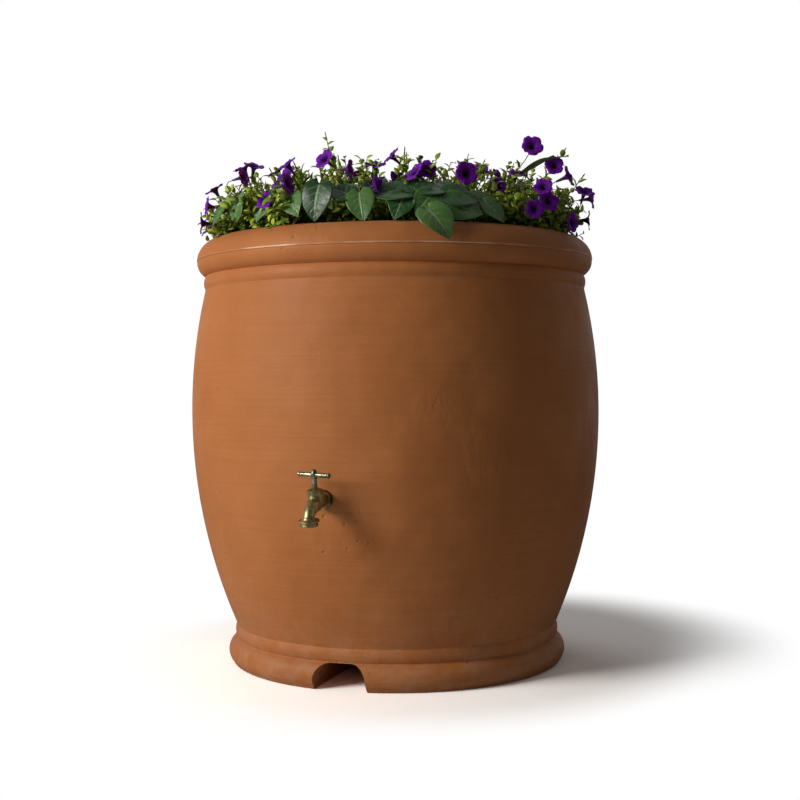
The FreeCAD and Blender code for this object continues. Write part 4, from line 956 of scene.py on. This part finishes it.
violet, tree, shader, place = new_finish("petunia_petal", Specular_IOR_Level=0.15,
                                         Sheen_Weight=0.08, Sheen_Roughness=0.4,
                                         Subsurface_Weight=0.1, Subsurface_Scale=0.003)
flush = grain(tree, place, 160.0, 4.0)
colour = ramp(tree, tone_of(tree, "spread"), (0.10, 92, 78, 92), (0.20, 52, 12, 76),
              (0.34, 38, 2, 60), (0.55, 106, 6, 160), (0.95, 134, 18, 192))
colour = tinted(tree, maths(tree, "MULTIPLY", tone_of(tree, "crease"), 0.55), colour, (40, 4, 76))
colour = tinted(tree, limits(tree, flush, 0.45, 0.7, 0.0, 0.35), colour, (150, 40, 200))
colour = tinted(tree, limits(tree, tone_of(tree, "tone"), 0.2, 1.0, 0.0, 0.3), colour,
                (58, 10, 104))
roughness = limits(tree, flush, 0.3, 0.7, 0.55, 0.72)
wire_up(shader, colour, roughness, raised(tree, grain(tree, place, 800.0, 2.0), 0.0002))


def on_tips(name, stems, bloom, smallest, largest, seed, finish):
    """A bloom, calyx or bud at the tip of every stem, planted as one piece."""
    return planted(made_by(tip_rule, name, Stems=stems, Bloom=bloom, Smallest=smallest,
                           Largest=largest, Seed=seed, Finish=finish))


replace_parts(on_tips("petunia_trumpets", shoots["blooming"], trumpet_shape, 0.76, 0.96, 2, violet),
            "petunia_plants")

cup = bmesh.new()
for k in range(5):
    blade(cup, 0.0115, 0.0030, 0.0003, 0.16, 0.45, turn=2 * math.pi * k / 5, stations=3)
calyx_shape = shape("calyx_shape", cup)
on_tips("petunia_calyxes", shoots["blooming"], calyx_shape, 0.8, 1.0, 2, petunia_green)

bud = bmesh.new()
rings = []
for radius, height in ((0.0009, 0.0), (0.0021, 0.004), (0.0022, 0.009), (0.0015, 0.015),
                       (0.0018, 0.021), (0.0011, 0.027)):
    turns = [math.pi * k / 3.5 + height * 70 for k in range(7)]
    rings.append([bud.verts.new((radius * math.cos(a), radius * math.sin(a), height))
                  for a in turns])
rings.insert(0, [bud.verts.new((0, 0, -0.0006))])
rings.append([bud.verts.new((0, 0, 0.0295))])
join_rings(bud, rings)
bud_shape = shape("bud_shape", bud)
bud_skin, tree, shader, place = new_finish("petunia_bud", Specular_IOR_Level=0.3)
streak = grain(tree, place, 240.0, 4.0)
colour = ramp(tree, between(tree, 0.35, tone_of(tree, "tone"), streak),
              (0.2, 112, 132, 54), (0.6, 120, 116, 78), (0.9, 72, 36, 88))
roughness = limits(tree, streak, 0.3, 0.7, 0.5, 0.7)
wire_up(shader, colour, roughness, raised(tree, streak, 0.0003))
budding_stems = routes("budding_routes", leafy[:len(SPRIGS)] + leafy[len(SPRIGS)::12])
on_tips("petunia_buds", budding_stems, bud_shape, 0.4, 0.72, 6, bud_skin)

# The trailing vine in front: a philodendron with broad, dark, heart-shaped leaves on
# long stalks, paler along their veins. One leaf has flopped over the rim.
vine_green, tree, shader, place = new_finish("vine_leaf", Specular_IOR_Level=0.5,
                                             Subsurface_Weight=0.06, Subsurface_Scale=0.004)
blotch = grain(tree, place, 70.0, 5.0)
ribs = tone_of(tree, "ribs")
colour = ramp(tree, between(tree, 0.35, tone_of(tree, "tone"), blotch),
              (0.15, 24, 58, 26), (0.5, 44, 88, 42), (0.85, 92, 132, 64))
colour = tinted(tree, limits(tree, ribs, 0.15, 0.7, 0.0, 0.55), colour, (150, 178, 130))
roughness = limits(tree, blotch, 0.3, 0.7, 0.30, 0.46)
relief = raised(tree, ribs, 0.0009)
relief = raised(tree, grain(tree, place, 320.0, 3.0), 0.0003, relief)
wire_up(shader, colour, roughness, relief)

# degrees round, distance out, height, length, which way the tip points (as on a clock
# seen from outside), how far the face leans back, and how much the blade curls down.
# The last is long and narrow, and arches up from behind the blooms on the right.
BROAD_LEAVES = (
    (-4, 0.318, 0.775, 0.062, 185, 12, 0.5), (17, 0.300, 0.786, 0.066, 262, 52, 0.5),
    (31, 0.298, 0.792, 0.056, 80, 58, 0.6), (38, 0.312, 0.780, 0.058, 96, 40, 0.5),
    (38, 0.322, 0.762, 0.062, 104, 26, 0.3), (27, 0.318, 0.768, 0.050, 215, 24, 0.5),
    (9, 0.315, 0.766, 0.052, 170, 20, 0.6), (20, 0.318, 0.764, 0.050, 200, 30, 0.5),
    (45, 0.305, 0.778, 0.050, 60, 34, 0.4), (2, 0.300, 0.790, 0.048, 300, 45, 0.4),
    (24, 0.290, 0.795, 0.050, 130, 50, 0.5), (-12, 0.315, 0.772, 0.044, 150, 25, 0.6),
    (48, 0.320, 0.760, 0.044, 140, 25, 0.5), (13, 0.280, 0.800, 0.050, 20, 40, 0.4),
    (36, 0.270, 0.800, 0.050, 340, 50, 0.4), (-42, 0.338, 0.768, 0.042, 225, 22, 0.4),
    (-34, 0.322, 0.782, 0.044, 15, 10, 0.3), (-24, 0.318, 0.766, 0.036, 200, 25, 0.5),
)
OVER_RIM = (29.5, 0.350, 0.7360, 0.062, 150, 30, 0.8)
LONG_LEAF = (68, 0.308, 0.8425, 0.104, 141, 130, 0.9)


def broad_leaf(mesh, layers, leaf, tone, slender=1.0):
    """Adds one heart-shaped blade, folded along its midrib, and returns its stalk's end."""
    ribs_layer, tone_layer = layers
    degrees, out, height, length, clock, lean, curl = leaf
    base = round_from_front(degrees, out, height)
    outward = round_from_front(degrees, 1, 0)
    aside = round_from_front(degrees + 90, 1, 0)
    lean, clock = math.radians(lean), math.radians(clock)
    face = outward * math.cos(lean) + Vector((0, 0, math.sin(lean)))
    upward = Vector((0, 0, math.cos(lean))) - outward * math.sin(lean)
    along = upward * math.cos(clock) + aside * math.sin(clock)
    across = along.cross(face)
    start = base - along * length * 0.45
    rows, spot, bend = [], start.copy(), -curl * 0.35
    count, wide = 32, 16
    for i in range(count + 1):
        share = i / count
        heading = along * math.cos(bend) - face * math.sin(bend)
        lift = face * math.cos(bend) + along * math.sin(bend)
        half = length * slender * 1.06 * (share + 0.004) ** 0.42 * (1 - share)
        row = []
        for k in range(wide + 1):
            side = 2 * k / wide - 1
            back = length * 0.17 * abs(side) ** 1.6 * (1 - share) ** 5
            cup = half * (0.26 * abs(side) - 0.16 * side * side)
            vein = 0.5 + 0.5 * math.cos(2 * math.pi * (share * 5 - abs(side) * 1.6))
            pucker = length * 0.012 * vein * (1 - abs(side)) * (abs(side) + 0.15) * 2
            edge = length * 0.018 * math.sin(9 * share + 2 * tone + side) * side * side
            corner = mesh.verts.new(spot + across * half * side - heading * back
                                    + lift * (cup + edge - pucker))
            midrib = max(0.0, 1 - abs(side) * 20 * (0.35 + share))
            corner[ribs_layer] = max(midrib, 0.6 * vein ** 8 * (1 - abs(side) ** 3))
            corner[tone_layer] = tone
            row.append(corner)
        rows.append(row)
        spot = spot + heading * length / count
        bend += curl / count
    for near, far in zip(rows, rows[1:]):
        for k in range(wide):
            mesh.faces.new((near[k], near[k + 1], far[k + 1], far[k]))
    return start, along


vine = bmesh.new()
layers = [vine.verts.layers.float.new(name) for name in ("ribs", "tone")]
stalks = [broad_leaf(vine, layers, leaf, rng.random()) for leaf in BROAD_LEAVES + (OVER_RIM,)]
stalks.append(broad_leaf(vine, layers, LONG_LEAF, 0.95, slender=0.15))
bmesh.ops.remove_doubles(vine, verts=vine.verts, dist=0.00001)
bmesh.ops.solidify(vine, geom=vine.faces[:], thickness=-0.0005)
vine_shape = shape("vine_leaves", vine)
vine_shape.data.materials.append(vine_green)
planted(vine_shape)
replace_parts(vine_shape, "trailing_vine")

stalk_routes = []
for start, along in stalks:
    inward = Vector((start.x, start.y, 0)).normalized()
    root = inward * rng.uniform(0.19, 0.25)
    root.z = soil_high.z - ROOT_DEPTH
    stalk_routes.append((root, root + Vector((0, 0, 0.05)), start - along * 0.022
                         + Vector((0, 0, 0.012)), start))
vine_routes = routes("vine_routes", stalk_routes)
planted(made_by(stalk_rule, "vine_stalks", Stems=vine_routes, Thick=0.0021, Thin=0.0013,
                Finish=stem_green))

for pattern in (leaf_shape, trumpet_shape, calyx_shape, bud_shape, budding_stems, vine_routes,
                *shoots.values()):
    bpy.data.objects.remove(pattern)
